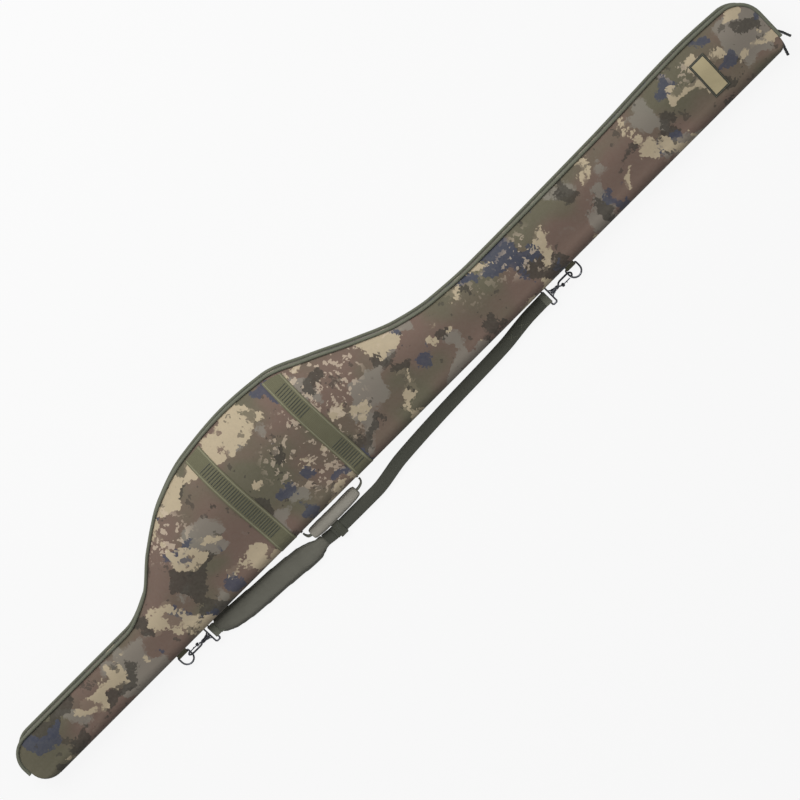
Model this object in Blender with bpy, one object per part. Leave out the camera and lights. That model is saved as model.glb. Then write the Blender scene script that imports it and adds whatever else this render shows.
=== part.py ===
"""Padded fishing-rod case with a reel belly, lying on its back with its shoulder strap.

Metres, +Z up. +X runs to the tip end, +Y to the zip side, the folded spine is on -Y.
The front half opens on the spine. The strap, its D-rings and the handle swing on one
line along the spine.
"""
from math import cos, pi, radians, sin, sqrt

import bmesh
import bpy
from mathutils import Matrix, Vector

MM = 0.001

# Plan of the sewn body, without its piping.
BUTT_X = -970 * MM
TIP_X = 970 * MM
SPINE_Y = -100 * MM
WIDTH_KNOTS = [
    (-975, 97), (-655, 97), (-580, 122), (-506, 180), (-432, 225), (-340, 253),
    (-230, 262), (-130, 254), (-45, 219), (40, 178), (115, 147), (190, 131),
    (290, 125), (600, 128), (825, 135), (975, 127),
]
STATIONS = [x * MM for x in (-840, -740, *range(-650, 191, 42), 310, 450, 600, 725, 825)]
BUTT_BELLY_R = 42 * MM
BUTT_SPINE_R = 33 * MM
TIP_BELLY_R = 48 * MM
TIP_SPINE_R = 13 * MM

# Heights: the two halves meet at the zip, level with the hinge line of the spine.
HINGE_Z = 27 * MM
FRONT_SEAM_Z = 49 * MM
BACK_SEAM_Z = 5 * MM
HALF_GUSSET = 22 * MM
RIM_GAP = 0.25 * MM
SPINE_ROUND = 26 * MM
END_ROUND = 8 * MM
END_BLEND = 60 * MM
CROWN_RATIO = 0.13
CROWN_BASE = 55 * MM
CROWN_SKEW = 1.4

# Layers of a padded wall, as depths below its outer face.
COVER = (0.0, 1.5 * MM)
FOAM = (1.9 * MM, 7.9 * MM)
LINING = (8.2 * MM, 9.2 * MM)
BAND = (-2.0 * MM, -0.4 * MM)
PATCH = (-1.5 * MM, -0.4 * MM)
SEAM_GAP = 0.3 * MM
SHEET_GAP = 2.2 * MM
ROUND_POINTS = 4
FOAM_CUTS = (-608 * MM, 190 * MM)

# Trim round the edge: offsets out of the wall and heights above the zip line.
GUSSET_SPAN = (8.3 * MM, 20.1 * MM)
TAPE_THICK = 1.2 * MM
COIL_OUT = 1.2 * MM
COIL_HALF = 2.2 * MM
BEAD_R = 3.0 * MM
BEAD_OUT = 3.0 * MM
BEAD_UP = 1.6 * MM

# Webbing bands, label and inner straps.
BAND_W = 40 * MM
BAND_X = {"butt": -318 * MM, "tip": -116 * MM}
BAND_END = 0.96
LABEL_X = 832 * MM
LABEL_SIZE = (37 * MM, 78 * MM)
LABEL_Y = SPINE_Y + 67 * MM
ROD_STRAP_X = {"butt": -780 * MM, "tip": 620 * MM}
ROD_STRAP_SIZE = (25 * MM, 44 * MM, 2 * MM)

# The line that the strap, the D-rings and the handle swing on.
SWING_Y = SPINE_Y - 8 * MM
SWING_Z = 11 * MM
RING_X = {"butt": -615 * MM, "tip": 414 * MM}
RING_HALF = 13 * MM
RING_SIDE = 11.5 * MM
RING_WIRE = 1.8 * MM
TAB_W = 21 * MM
TAB_R = 4.0 * MM
TAB_Z = (9 * MM, 21 * MM)
TAB_CLEAR = 0.4 * MM
PIVOT_GAP = 0.5 * MM

# Handle.
HANDLE_X = (-290 * MM, -142 * MM)
HANDLE_Y = SPINE_Y - 21 * MM
HANDLE_WEB = (4 * MM, 13 * MM)
HANDLE_NECK = 0.32
HANDLE_BEND = (9 * MM, 1 * MM)
HANDLE_TAB_Z = (7 * MM, 12 * MM, 17 * MM, 21 * MM)
GRIP_SIZE = (24 * MM, 17 * MM)
GRIP_X = (-280 * MM, -164 * MM)

# Snap hooks, drawn with s along the hook from its swivel and t towards the gate.
# Routes and turned profiles are pairs in millimetres.
HOOK_TILT = radians(50)
HOOK_Y = SWING_Y - 10.5 * MM
HOOK_SEAT = 53.5 * MM
HOOK_WIRE = 1.9 * MM
HOOK_HALF = 6.2 * MM
HOOK_END = 46 * MM
HOOK_PIVOT_S = 20 * MM
HOOK_NOSE_S = 40.9 * MM
SHANK_ROUTE = [(8, 0.0), (12, -0.4), (16, -4.65)]
BRIDGE_ROUTE = [(9, 0.0), (15, 3.4)]
STEM_PROFILE = [(-6.5, 3.6), (-5, 3.6), (-4.8, 2.1), (6, 2.1), (6.4, 4.0), (11, 3.6)]
STEM_BORE = 2.5 * MM
COLLAR_PROFILE = [(-4.2, 4.6), (5.6, 3.7)]
LUG_R = 3.2 * MM
LUG_HALF = 2.4 * MM
PIN_R = 0.9 * MM
PIN_GAP = 0.3 * MM
GATE_R = 1.1 * MM
GATE_SHORT = 2.8 * MM
NUB = (9 * MM, 1.45 * MM, 0.9 * MM)
LOOP_START = 8.5 * MM
LOOP_SIZE = (10 * MM, 38 * MM)
LOOP_WIRE = 1.7 * MM
LOOP_WEB = (10 * MM, 2.6 * MM)
ARM_ROUTE = [(-8.5, 7.5), (-3, 3.9), (1, 3.6)]

# Shoulder strap: routes are offsets from the spine.
STRAP_W = 25 * MM
STRAP_T = 1.6 * MM
STRAP_ROUTE = [(-268, 49), (-250, 51), (-140, 51), (-60, 40), (60, 33), (220, 28), (300, 19.5), (330, 18.5)]
STRAP_START = {"strap_lower": -267, "strap_upper": -250}
STRAP_Z = {"strap_lower": 2.6 * MM, "strap_upper": 6.2 * MM}
STRAP_RISE = {"strap_lower": 6.2 * MM, "strap_upper": 5.2 * MM}
RISE_X = (240 * MM, 330 * MM)
PAD_ROUTE = [(-532.4, 20, 26), (-522, 22, 38), (-500, 27, 47), (-450, 33, 50), (-380, 38, 48),
             (-325, 42.5, 38), (-290, 46, 27), (-269.2, 48.8, 25)]
PAD_HEIGHT = 12 * MM
PAD_FLOOR = 0.5 * MM
ADJUSTER_X = -236 * MM
ADJUSTER_SIZE = (16 * MM, 31 * MM, 10 * MM)
ADJUSTER_WALL = 2.0 * MM

# Zip sliders and pulls at the tip end.
SLIDER_Y = {"upper": SPINE_Y + 40 * MM, "lower": SPINE_Y + 28 * MM}
SLIDER_SIZE = (3 * MM, 9 * MM)
SLIDER_Z = (9 * MM, 31 * MM)
SLIDER_BEVEL = 0.6 * MM
EAR_HALF = (1.6 * MM, 0.6 * MM)
EAR_Z = 3.8 * MM
PULL_Z = 13.5 * MM
PULL_REACH = 2.6 * MM
PULL_PIN_R = 0.9 * MM
PULL_GAP = 0.35 * MM
PULL_EYE_R = 2.0 * MM
PULL_EYE_HALF = 1.6 * MM
PULL_HALF = (2.6 * MM, 2.4 * MM)
PULL_NECK = [(1.3, 0.37), (10, 0.37), (14, 0.6), (22, 1.0)]
PULL_RIBS = (3, 5, 0.82)
PULL_SIZE = {"upper": 38 * MM, "lower": 47 * MM}
PULL_TURN = {"upper": radians(-68), "lower": radians(-106)}

COLOURS = {
    "camo": ((0.16, 0.13, 0.09), 0.85, 0.0),
    "foam": ((0.12, 0.12, 0.12), 0.9, 0.0),
    "lining": ((0.06, 0.06, 0.055), 0.8, 0.0),
    "piping": ((0.06, 0.06, 0.04), 0.7, 0.0),
    "tape": ((0.05, 0.05, 0.04), 0.75, 0.0),
    "band": ((0.12, 0.13, 0.07), 0.85, 0.0),
    "label": ((0.35, 0.30, 0.18), 0.6, 0.0),
    "strap": ((0.10, 0.10, 0.08), 0.85, 0.0),
    "pad": ((0.11, 0.11, 0.09), 0.9, 0.0),
    "grip": ((0.26, 0.24, 0.19), 0.85, 0.0),
    "metal": ((0.10, 0.10, 0.11), 0.35, 1.0),
    "pull": ((0.05, 0.05, 0.05), 0.5, 0.0),
}


def clear_scene():
    for obj in list(bpy.data.objects):
        bpy.data.objects.remove(obj, do_unlink=True)


def new_collection(name):
    collection = bpy.data.collections.new(name)
    bpy.context.scene.collection.children.link(collection)
    return collection


def material(name, finish):
    colour, roughness, metallic = COLOURS[finish]
    mat = bpy.data.materials.new(name)
    mat.use_nodes = True
    shader = mat.node_tree.nodes["Principled BSDF"]
    shader.inputs["Base Color"].default_value = (*colour, 1.0)
    shader.inputs["Roughness"].default_value = roughness
    shader.inputs["Metallic"].default_value = metallic
    return mat


def add_part(name, mesh, finish, origin=(0.0, 0.0, 0.0), smooth=False):
    """Put a mesh, drawn in world places, into an object whose origin is its pivot."""
    mesh.name = name
    mesh.transform(Matrix.Translation(-Vector(origin)))
    mesh.materials.clear()
    mesh.materials.append(material(name, finish))
    if smooth:
        mesh.shade_smooth()
        mesh.set_sharp_from_angle(angle=radians(40))
    obj = bpy.data.objects.new(name, mesh)
    obj.location = origin
    PARTS.objects.link(obj)
    return obj


def mesh_of(bm):
    """Weld, turn the faces outwards and make a mesh of it."""
    bmesh.ops.remove_doubles(bm, verts=bm.verts, dist=1e-6)
    bmesh.ops.dissolve_degenerate(bm, edges=bm.edges, dist=1e-7)
    bmesh.ops.recalc_face_normals(bm, faces=bm.faces)
    mesh = bpy.data.meshes.new("part")
    bm.to_mesh(mesh)
    bm.free()
    return mesh


def spline_at(knots, x):
    """Smooth curve through knots that never overshoots them."""
    slopes = [(b[1] - a[1]) / (b[0] - a[0]) for a, b in zip(knots, knots[1:])]
    tangents = [slopes[0]]
    for left, right in zip(slopes, slopes[1:]):
        tangents.append(2 * left * right / (left + right) if left * right > 0 else 0.0)
    tangents.append(slopes[-1])
    last = len(knots) - 2
    i = max(k for k in range(last + 1) if k == 0 or knots[k][0] <= x)
    step = knots[i + 1][0] - knots[i][0]
    t = min(1.0, max(0.0, (x - knots[i][0]) / step))
    rise = t * t * (3 - 2 * t)
    ease_in = t * (1 - t) * (1 - t) * step * tangents[i]
    ease_out = t * t * (1 - t) * step * tangents[i + 1]
    return knots[i][1] + (knots[i + 1][1] - knots[i][1]) * rise + ease_in - ease_out


def zip_edge(x):
    return SPINE_Y + spline_at(WIDTH_KNOTS, x / MM) * MM


def edge_stretch(x):
    """How much longer a level offset is than a square one where the edge slopes."""
    reach = 2 * MM
    slope = (zip_edge(x + reach) - zip_edge(x - reach)) / (2 * reach)
    return sqrt(1 + slope * slope)


def spine_side(x, depth):
    """Spine edge of the plan at x, with its rounded corners."""
    for end, radius, turn in ((BUTT_X, BUTT_SPINE_R, 1), (TIP_X, TIP_SPINE_R, -1)):
        into = radius - turn * (x - end)
        if into > 0:
            return SPINE_Y + radius - sqrt(max(0.0, (radius - depth) ** 2 - into ** 2))
    return SPINE_Y + depth


def plan_stations(depth):
    """Stations (x, spine y, zip y) of the plan drawn in by a depth."""
    stations = []
    corner = [radians(a) for a in (0, 30, 60, 90)]
    near_butt = BUTT_X + BUTT_BELLY_R
    near_tip = TIP_X - TIP_BELLY_R
    for a in corner:
        x = near_butt - (BUTT_BELLY_R - depth) * cos(a)
        y = zip_edge(near_butt) - BUTT_BELLY_R + (BUTT_BELLY_R - depth) * sin(a)
        stations.append((x, spine_side(x, depth), y))
    for x in STATIONS:
        stations.append((x, spine_side(x, depth), zip_edge(x) - depth * edge_stretch(x)))
    for a in reversed(corner):
        x = near_tip + (TIP_BELLY_R - depth) * cos(a)
        y = zip_edge(near_tip) - TIP_BELLY_R + (TIP_BELLY_R - depth) * sin(a)
        stations.append((x, spine_side(x, depth), y))
    return stations


def end_ease(x):
    """0 at the two ends of the case, 1 away from them."""
    near = min(x - BUTT_X, TIP_X - x) / END_BLEND
    near = min(1.0, max(0.0, near))
    return near * near * (3 - 2 * near)


def section(station, depth, half, wall, reach=1.0):
    """Points of one cross-section from the spine rim over to the zip side."""
    x, low, high = station
    ease = end_ease(x)
    front = half == "front"
    side = 1 if front else -1
    rim = HINGE_Z + side * RIM_GAP
    seam = FRONT_SEAM_Z if front else BACK_SEAM_Z * (1 - ease)
    height = abs(seam - HINGE_Z) - depth
    across = max(END_ROUND + (SPINE_ROUND - END_ROUND) * ease - depth, 1 * MM)
    points = [Vector((x, low, rim))]
    for a in (30, 60, 90):
        a = radians(a)
        points.append(Vector((x, low + across * (1 - cos(a)), HINGE_Z + side * height * sin(a))))
    crown = max(0.0, CROWN_RATIO * (high - low - CROWN_BASE)) * ease
    for k in range(1, 6):
        s = k / 5 if k < 5 else reach
        y = low + across + s * (high - low - across)
        if front:
            z = seam - depth + crown * sin(pi * s ** CROWN_SKEW)
        else:
            z = (BACK_SEAM_Z if k == 5 and reach == 1.0 else seam) + depth
        points.append(Vector((x, y, z)))
    if wall:
        points.append(Vector((x, high, rim)))
    return points


def half_rows(depth, half, wall):
    """Rows of sections along the case, closed down to the rim at both ends."""
    rows = [section(st, depth, half, wall) for st in plan_stations(depth)]
    rim = HINGE_Z + (RIM_GAP if half == "front" else -RIM_GAP)
    for index in (0, -1):
        drop = len(rows[index]) if wall else ROUND_POINTS - 1
        end = [Vector((p.x, p.y, rim)) if i < drop else p.copy() for i, p in enumerate(rows[index])]
        rows.insert(0 if index == 0 else len(rows), end)
    return rows


def shell_mesh(outer, inner):
    """Closed wall between two grids of points with the same layout."""
    bm = bmesh.new()
    grids = [[[bm.verts.new(p) for p in row] for row in grid] for grid in (outer, inner)]
    rows, cols = len(outer), len(outer[0])
    for grid in grids:
        for r in range(rows - 1):
            for c in range(cols - 1):
                bm.faces.new((grid[r][c], grid[r + 1][c], grid[r + 1][c + 1], grid[r][c + 1]))
    border = [(r, 0) for r in range(rows)] + [(rows - 1, c) for c in range(1, cols)]
    border += [(r, cols - 1) for r in range(rows - 2, -1, -1)]
    border += [(0, c) for c in range(cols - 2, 0, -1)]
    for (r0, c0), (r1, c1) in zip(border, border[1:] + border[:1]):
        bm.faces.new((grids[0][r0][c0], grids[0][r1][c1], grids[1][r1][c1], grids[1][r0][c0]))
    return mesh_of(bm)


def layer(name, half, depths, wall, finish, origin):
    """A whole half in one piece, round the spine and over to the zip side."""
    outer, inner = (half_rows(d, half, wall) for d in depths)
    return add_part(name, shell_mesh(outer, inner), finish, origin, smooth=True)


def spine_strip(name, half, depths, finish, origin):
    """The part of a layer that goes round the spine."""
    outer, inner = ([row[:ROUND_POINTS] for row in half_rows(d, half, False)] for d in depths)
    return add_part(name, shell_mesh(outer, inner), finish, origin, smooth=True)


def sheet(name, half, depths, span, finish, origin):
    """The part of a layer that lies flat, between two places along the case."""
    grids = []
    for depth in depths:
        inside = [st for st in plan_stations(depth) if span[0] - MM < st[0] < span[1] + MM]
        rows = [section(st, depth, half, False)[ROUND_POINTS - 1:] for st in inside]
        for row in rows:
            row[0] += (row[1] - row[0]).normalized() * SHEET_GAP
        for p, q in zip(rows[0], rows[-1]):
            p.x += SEAM_GAP / 2
            q.x -= SEAM_GAP / 2
        grids.append(rows)
    return add_part(name, shell_mesh(*grids), finish, origin, smooth=True)


def foam(half, origin):
    """Padding of one half: a strip round the spine, three sheets, and a strip behind the gusset."""
    spine_strip(half + "_foam_spine", half, FOAM, "foam", origin)
    cuts = [BUTT_X, *FOAM_CUTS, TIP_X]
    for end, span in zip(("butt", "belly", "tip"), zip(cuts, cuts[1:])):
        sheet(f"{half}_foam_{end}", half, FOAM, span, "foam", origin)
    side = 1 if half == "front" else -1
    heights = [HINGE_Z + side * h for h in (HALF_GUSSET - FOAM[1] - SEAM_GAP, RIM_GAP)]
    grids = []
    for depth in FOAM:
        rows = [[Vector((x, y, z)) for z in heights] for x, y in rim_route(depth)]
        grids.append(rows)
    add_part(half + "_foam_wall", shell_mesh(*grids), "foam", origin, smooth=True)


def sweep_mesh(frames, profile, cyclic=False, scale=None):
    """Loft of one profile along frames (point, sideways, up)."""
    bm = bmesh.new()
    rings = []
    for i, (point, aside, up) in enumerate(frames):
        k = scale[i] if scale else (1.0, 1.0)
        rings.append([bm.verts.new(point + aside * (a * k[0]) + up * (b * k[1])) for a, b in profile])
    count = len(profile)
    pairs = list(zip(rings, rings[1:])) + ([(rings[-1], rings[0])] if cyclic else [])
    for left, right in pairs:
        for i in range(count):
            j = (i + 1) % count
            bm.faces.new((left[i], left[j], right[j], right[i]))
    if not cyclic:
        bm.faces.new(rings[0])
        bm.faces.new(rings[-1])
    return mesh_of(bm)


def plan_frames(points, height, cyclic=False):
    """Frames along a level route: sideways is to its left, up is +Z."""
    frames = []
    count = len(points)
    for i, p in enumerate(points):
        before = points[(i - 1) % count] if cyclic or i else p
        after = points[(i + 1) % count] if cyclic or i < count - 1 else p
        into = (Vector(p) - Vector(before)).normalized()
        out = (Vector(after) - Vector(p)).normalized()
        along = (into + out).normalized()
        aside = Vector((-along.y, along.x, 0.0))
        turn = max(0.5, abs((into if into.length else out).dot(along)))
        frames.append((Vector((p[0], p[1], height)), aside / turn, Vector((0, 0, 1))))
    return frames


def circle(radius, sides, offset=(0.0, 0.0)):
    return [(offset[0] + radius * cos(2 * pi * i / sides), offset[1] + radius * sin(2 * pi * i / sides))
            for i in range(sides)]


def rectangle(low, high):
    return [(low[0], low[1]), (high[0], low[1]), (high[0], high[1]), (low[0], high[1])]


def rim_route(depth):
    """Plan of the edge at a depth, round the butt end, the zip side and the tip end."""
    stations = plan_stations(depth)
    margin = 0.5 * MM
    first, last = stations[0], stations[-1]
    route = [(first[0], first[1] + END_ROUND + margin)]
    route += [(x, high) for x, low, high in stations]
    route.append((last[0], last[1] + END_ROUND + margin))
    return route


def edge_trim(half, origin):
    """Gusset, zip tape with its coil, and piping of one half."""
    side = 1 if half == "front" else -1
    frames = plan_frames(rim_route(0.0), HINGE_Z)
    low, high = (side * h for h in GUSSET_SPAN)
    gusset = sweep_mesh(frames, rectangle((-COVER[1], low), (0.0, high)))
    add_part(half + "_gusset", gusset, "camo", origin)
    tape_top = side * (GUSSET_SPAN[0] - SEAM_GAP)
    near, coil = side * RIM_GAP, side * COIL_HALF
    tape = [(0.0, tape_top), (-TAPE_THICK, tape_top), (-TAPE_THICK, near),
            (COIL_OUT, near), (COIL_OUT, coil), (0.0, coil)]
    add_part(half + "_zip_tape", sweep_mesh(frames, tape), "tape", origin)
    bead = circle(BEAD_R, 8, (BEAD_OUT, side * (HALF_GUSSET + BEAD_UP)))
    add_part(half + "_piping", sweep_mesh(frames, bead), "piping", origin, smooth=True)


def band(name, half, centre, origin):
    """Webbing sewn across the panel, from beside the hinge line towards the zip."""
    front = half == "front"
    rows = []
    for depth in BAND:
        grid = []
        for x in (centre - BAND_W / 2, centre, centre + BAND_W / 2):
            station = (x, SPINE_Y + depth, zip_edge(x) - depth)
            points = section(station, depth, half, False, BAND_END)
            grid.append(points[1:] if front else points[1:3])
        rows.append(grid)
    return add_part(name, shell_mesh(*rows), "band", origin)


def front_top(x, y):
    """Height of the front panel's outer face."""
    low, high = SPINE_Y, zip_edge(x)
    across = END_ROUND + (SPINE_ROUND - END_ROUND) * end_ease(x)
    s = max(0.0, min(1.0, (y - low - across) / (high - low - across)))
    crown = CROWN_RATIO * (high - low - CROWN_BASE) * end_ease(x)
    return FRONT_SEAM_Z + crown * sin(pi * s ** CROWN_SKEW)


def label_patch(origin):
    rows = []
    for depth in PATCH:
        grid = []
        for i in range(3):
            x = LABEL_X + LABEL_SIZE[0] * (i / 2 - 0.5)
            ys = [LABEL_Y + LABEL_SIZE[1] * (j / 6 - 0.5) for j in range(7)]
            grid.append([Vector((x, y, front_top(x, y) - depth)) for y in ys])
        rows.append(grid)
    return add_part("label_patch", shell_mesh(*rows), "label", origin)


def box_mesh(low, high, bevel=0.0):
    bm = bmesh.new()
    bmesh.ops.create_cube(bm, size=1.0)
    for v in bm.verts:
        v.co = Vector([low[i] + (high[i] - low[i]) * (v.co[i] + 0.5) for i in range(3)])
    if bevel:
        bmesh.ops.bevel(bm, geom=bm.edges, offset=bevel, segments=1, affect="EDGES")
    return mesh_of(bm)


def rod_strap(name, centre):
    length, width, thick = ROD_STRAP_SIZE
    floor = LINING[1] + SEAM_GAP
    middle = SPINE_Y + (zip_edge(centre) - SPINE_Y) / 2 + 4 * MM
    mesh = box_mesh((centre - length / 2, middle - width / 2, floor),
                    (centre + length / 2, middle + width / 2, floor + thick), 0.4 * MM)
    return add_part(name, mesh, "strap")


def spine_wall(z, clear):
    """Y of a point that clears the back's spine wall at a height."""
    up = (HINGE_Z - z) / (HINGE_Z + clear)
    return SPINE_Y + SPINE_ROUND - (SPINE_ROUND + clear) * sqrt(1 - up * up)


def extruded_profile(outline, holes, low_x, high_x):
    """Flat outline in Y and Z, given a thickness along X, as a mesh."""
    curve = bpy.data.curves.new("profile", "CURVE")
    curve.dimensions = "2D"
    curve.fill_mode = "BOTH"
    curve.extrude = (high_x - low_x) / 2
    for loop in [outline] + holes:
        spline = curve.splines.new("POLY")
        spline.points.add(len(loop) - 1)
        for point, (y, z) in zip(spline.points, loop):
            point.co = (y, z, 0.0, 1.0)
        spline.use_cyclic_u = True
    obj = bpy.data.objects.new("profile", curve)
    bpy.context.scene.collection.objects.link(obj)
    bpy.context.view_layer.update()
    mesh = bpy.data.meshes.new_from_object(obj.evaluated_get(bpy.context.evaluated_depsgraph_get()))
    bpy.data.objects.remove(obj, do_unlink=True)
    middle = (low_x + high_x) / 2
    mesh.transform(Matrix(((0, 0, 1, middle), (1, 0, 0, 0), (0, 1, 0, 0), (0, 0, 0, 1))))
    bm = bmesh.new()
    bm.from_mesh(mesh)
    bpy.data.meshes.remove(mesh)
    return mesh_of(bm)


def tab_outline(radius):
    """Webbing tab that leaves the spine wall and turns round the swing line."""
    bottom, top = TAB_Z
    steps = 5
    heights = [bottom + (top - bottom) * i / steps for i in range(steps + 1)]
    outline = [(spine_wall(z, TAB_CLEAR), z) for z in heights]
    turns = 8
    for i in range(turns + 1):
        a = radians(90 + 180 * i / turns)
        outline.append((SWING_Y + radius * cos(a), SWING_Z + radius * sin(a)))
    return outline


def d_ring_tab(end):
    bore = RING_WIRE + PIVOT_GAP
    hole = circle(bore, 12, (SWING_Y, SWING_Z))
    centre = RING_X[end]
    mesh = extruded_profile(tab_outline(TAB_R), [hole], centre - TAB_W / 2, centre + TAB_W / 2)
    return add_part("d_ring_tab_" + end, mesh, "band")


def d_ring(end):
    """Round wire bent to a D, with its flat bar on the swing line."""
    centre = RING_X[end]
    corner = 2.5 * MM
    half, side = RING_HALF, RING_SIDE
    route = [(half - corner, 0.0), (half - corner * 0.3, -corner * 0.3), (half, -corner), (half, -side)]
    route += [(half * cos(radians(a)), -side - half * sin(radians(a))) for a in range(20, 161, 20)]
    route += [(-x, y) for x, y in reversed(route[:4])]
    route = [(centre + x, SWING_Y + y) for x, y in route]
    frames = plan_frames(route, SWING_Z, cyclic=True)
    mesh = sweep_mesh(frames, circle(RING_WIRE, 8), cyclic=True)
    return add_part("d_ring_" + end, mesh, "metal", (centre, SWING_Y, SWING_Z), smooth=True)


def handle_tab(name, x):
    """Short sewn end that the handle webbing hangs from."""
    half = HANDLE_WEB[0] / 2
    neck = 2.2 * MM
    start = SWING_Y + neck + PIVOT_GAP
    outline = [(spine_wall(z, TAB_CLEAR), z) for z in HANDLE_TAB_Z]
    outline += [(start, SWING_Z + neck), (start, SWING_Z - neck)]
    mesh = extruded_profile(outline, [], x - half, x + half)
    return add_part(name, mesh, "strap")


def handle_route():
    """Plan of the handle webbing, out from one tab, along, and back to the other."""
    left, right = HANDLE_X
    out = HANDLE_Y
    bend, bow = HANDLE_BEND
    inset = 20 * MM
    start, elbow = SWING_Y - 0.3 * MM, SWING_Y - 4 * MM
    return [(left, start), (left, elbow), (left + bend * 0.3, out + bend * 0.3), (left + bend, out),
            (GRIP_X[0] + inset, out - bow), ((left + right) / 2, out - bow * 1.6),
            (GRIP_X[1] - inset, out - bow), (right - bend * 1.6, out),
            (right - bend * 0.4, out + bend * 0.4), (right, elbow), (right, start)]


def handle():
    """Webbing on its edge, drawn in where it is sewn to its tabs, with a padded grip."""
    pivot = ((HANDLE_X[0] + HANDLE_X[1]) / 2, SWING_Y, SWING_Z)
    frames = plan_frames(handle_route(), SWING_Z)
    thick, tall = HANDLE_WEB
    narrow = [(1.0, HANDLE_NECK)] * 2
    ease = narrow + [(1.0, 1.0)] * (len(frames) - 4) + narrow
    web = sweep_mesh(frames, rectangle((-thick / 2, -tall / 2), (thick / 2, tall / 2)), scale=ease)
    add_part("handle_webbing", web, "strap", pivot)
    add_part("handle_grip", grip_mesh(), "grip", pivot, smooth=True)


def grip_mesh():
    """Padded sleeve round the middle of the handle webbing."""
    stops = 9
    knots = [(x, y) for x, y in handle_route()[3:8]]
    outer, inner = [], []
    sides = 16
    slot = 0.4 * MM
    for i in range(stops):
        t = i / (stops - 1)
        x = GRIP_X[0] + (GRIP_X[1] - GRIP_X[0]) * t
        y = spline_at(knots, x)
        plump = 1.0 - 0.22 * abs(2 * t - 1) ** 6
        loop_out, loop_in = [], []
        for j in range(sides):
            a = 2 * pi * (j + 0.5) / sides
            loop_out.append(Vector((x, y + GRIP_SIZE[0] / 2 * plump * cos(a),
                                    SWING_Z + GRIP_SIZE[1] / 2 * plump * sin(a))))
            wide = HANDLE_WEB[0] / 2 + slot
            tall = HANDLE_WEB[1] / 2 + slot
            loop_in.append(Vector((x, y + wide * max(-1, min(1, 1.6 * cos(a))),
                                   SWING_Z + tall * max(-1, min(1, 1.6 * sin(a))))))
        outer.append(loop_out)
        inner.append(loop_in)
    bm = bmesh.new()
    grids = [[[bm.verts.new(p) for p in loop] for loop in grid] for grid in (outer, inner)]
    for grid in grids:
        for left, right in zip(grid, grid[1:]):
            for j in range(sides):
                k = (j + 1) % sides
                bm.faces.new((left[j], right[j], right[k], left[k]))
    for end in (0, -1):
        for j in range(sides):
            k = (j + 1) % sides
            bm.faces.new((grids[0][end][j], grids[0][end][k], grids[1][end][k], grids[1][end][j]))
    return mesh_of(bm)


def shoulder_pad(pivot):
    """Soft pad with a flat underside, a drawn-in edge and a low crown."""
    rows = []
    profile = [(-1.0, 0.30), (-0.86, 0.62), (-0.5, 0.93), (0.0, 1.0), (0.5, 0.93), (0.86, 0.62), (1.0, 0.30)]
    bm = bmesh.new()
    for i, (x, out, width) in enumerate(PAD_ROUTE):
        tall = PAD_HEIGHT * (0.55 if i == len(PAD_ROUTE) - 1 else 1.0)
        y = SPINE_Y - out * MM
        top = [(x * MM, y + a * width * MM / 2, PAD_FLOOR + tall * b) for a, b in profile]
        base = [(x * MM, y + a * width * MM / 2, PAD_FLOOR) for a in (0.9, -0.9)]
        rows.append([bm.verts.new(p) for p in top + base])
    count = len(rows[0])
    for left, right in zip(rows, rows[1:]):
        for i in range(count):
            j = (i + 1) % count
            bm.faces.new((left[i], right[i], right[j], left[j]))
    bm.faces.new(rows[0])
    bm.faces.new(rows[-1])
    return add_part("shoulder_pad", mesh_of(bm), "pad", pivot, smooth=True)


def strap_webbing(name, pivot):
    """One layer of the strap, which climbs to its loop at the tip end."""
    start, stop = STRAP_START[name], STRAP_ROUTE[-1][0]
    steps = 16
    xs = [start + (stop - start) * i / steps for i in range(steps + 1)]
    frames = plan_frames([(x * MM, SPINE_Y - spline_at(STRAP_ROUTE, x) * MM) for x in xs], STRAP_Z[name])
    for point, aside, up in frames:
        t = min(1.0, max(0.0, (point.x - RISE_X[0]) / (RISE_X[1] - RISE_X[0])))
        point.z += STRAP_RISE[name] * t * t * (3 - 2 * t)
    mesh = sweep_mesh(frames, rectangle((-STRAP_W / 2, 0.0), (STRAP_W / 2, STRAP_T)))
    return add_part(name, mesh, "strap", pivot)


def adjuster(pivot):
    """Metal slide round both layers of webbing, with its bar between them."""
    length, width, tall = ADJUSTER_SIZE
    wall = ADJUSTER_WALL
    middle = SPINE_Y - spline_at(STRAP_ROUTE, ADJUSTER_X / MM) * MM
    low, high = middle - width / 2, middle + width / 2
    gap = 0.4 * MM
    base, top = gap, gap + tall
    bar = (STRAP_Z["strap_lower"] + STRAP_T + gap, STRAP_Z["strap_upper"] - gap)
    outline = rectangle((low, base), (high, top))
    slots = [rectangle((low + wall, base + wall), (high - wall, bar[0])),
             rectangle((low + wall, bar[1]), (high - wall, top - wall))]
    mesh = extruded_profile(outline, slots, ADJUSTER_X - length / 2, ADJUSTER_X + length / 2)
    return add_part("strap_adjuster", mesh, "metal", pivot)


def hook_matrix(end):
    """Places a hook drawn with s along local X and t along local Y."""
    toward = -1 if end == "butt" else 1
    gate_side = 1 if end == "butt" else -1
    along = Vector((toward, 0, 0))
    gate = Vector((0, gate_side * cos(HOOK_TILT), sin(HOOK_TILT)))
    across = along.cross(gate)
    start = RING_X[end] - toward * HOOK_SEAT
    rows = [(along[i], gate[i], across[i], (start, HOOK_Y, SWING_Z)[i]) for i in range(3)]
    return Matrix(rows + [(0, 0, 0, 1)])


def metres(points):
    """Pairs that were written in millimetres."""
    return [(a * MM, b * MM) for a, b in points]


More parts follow.
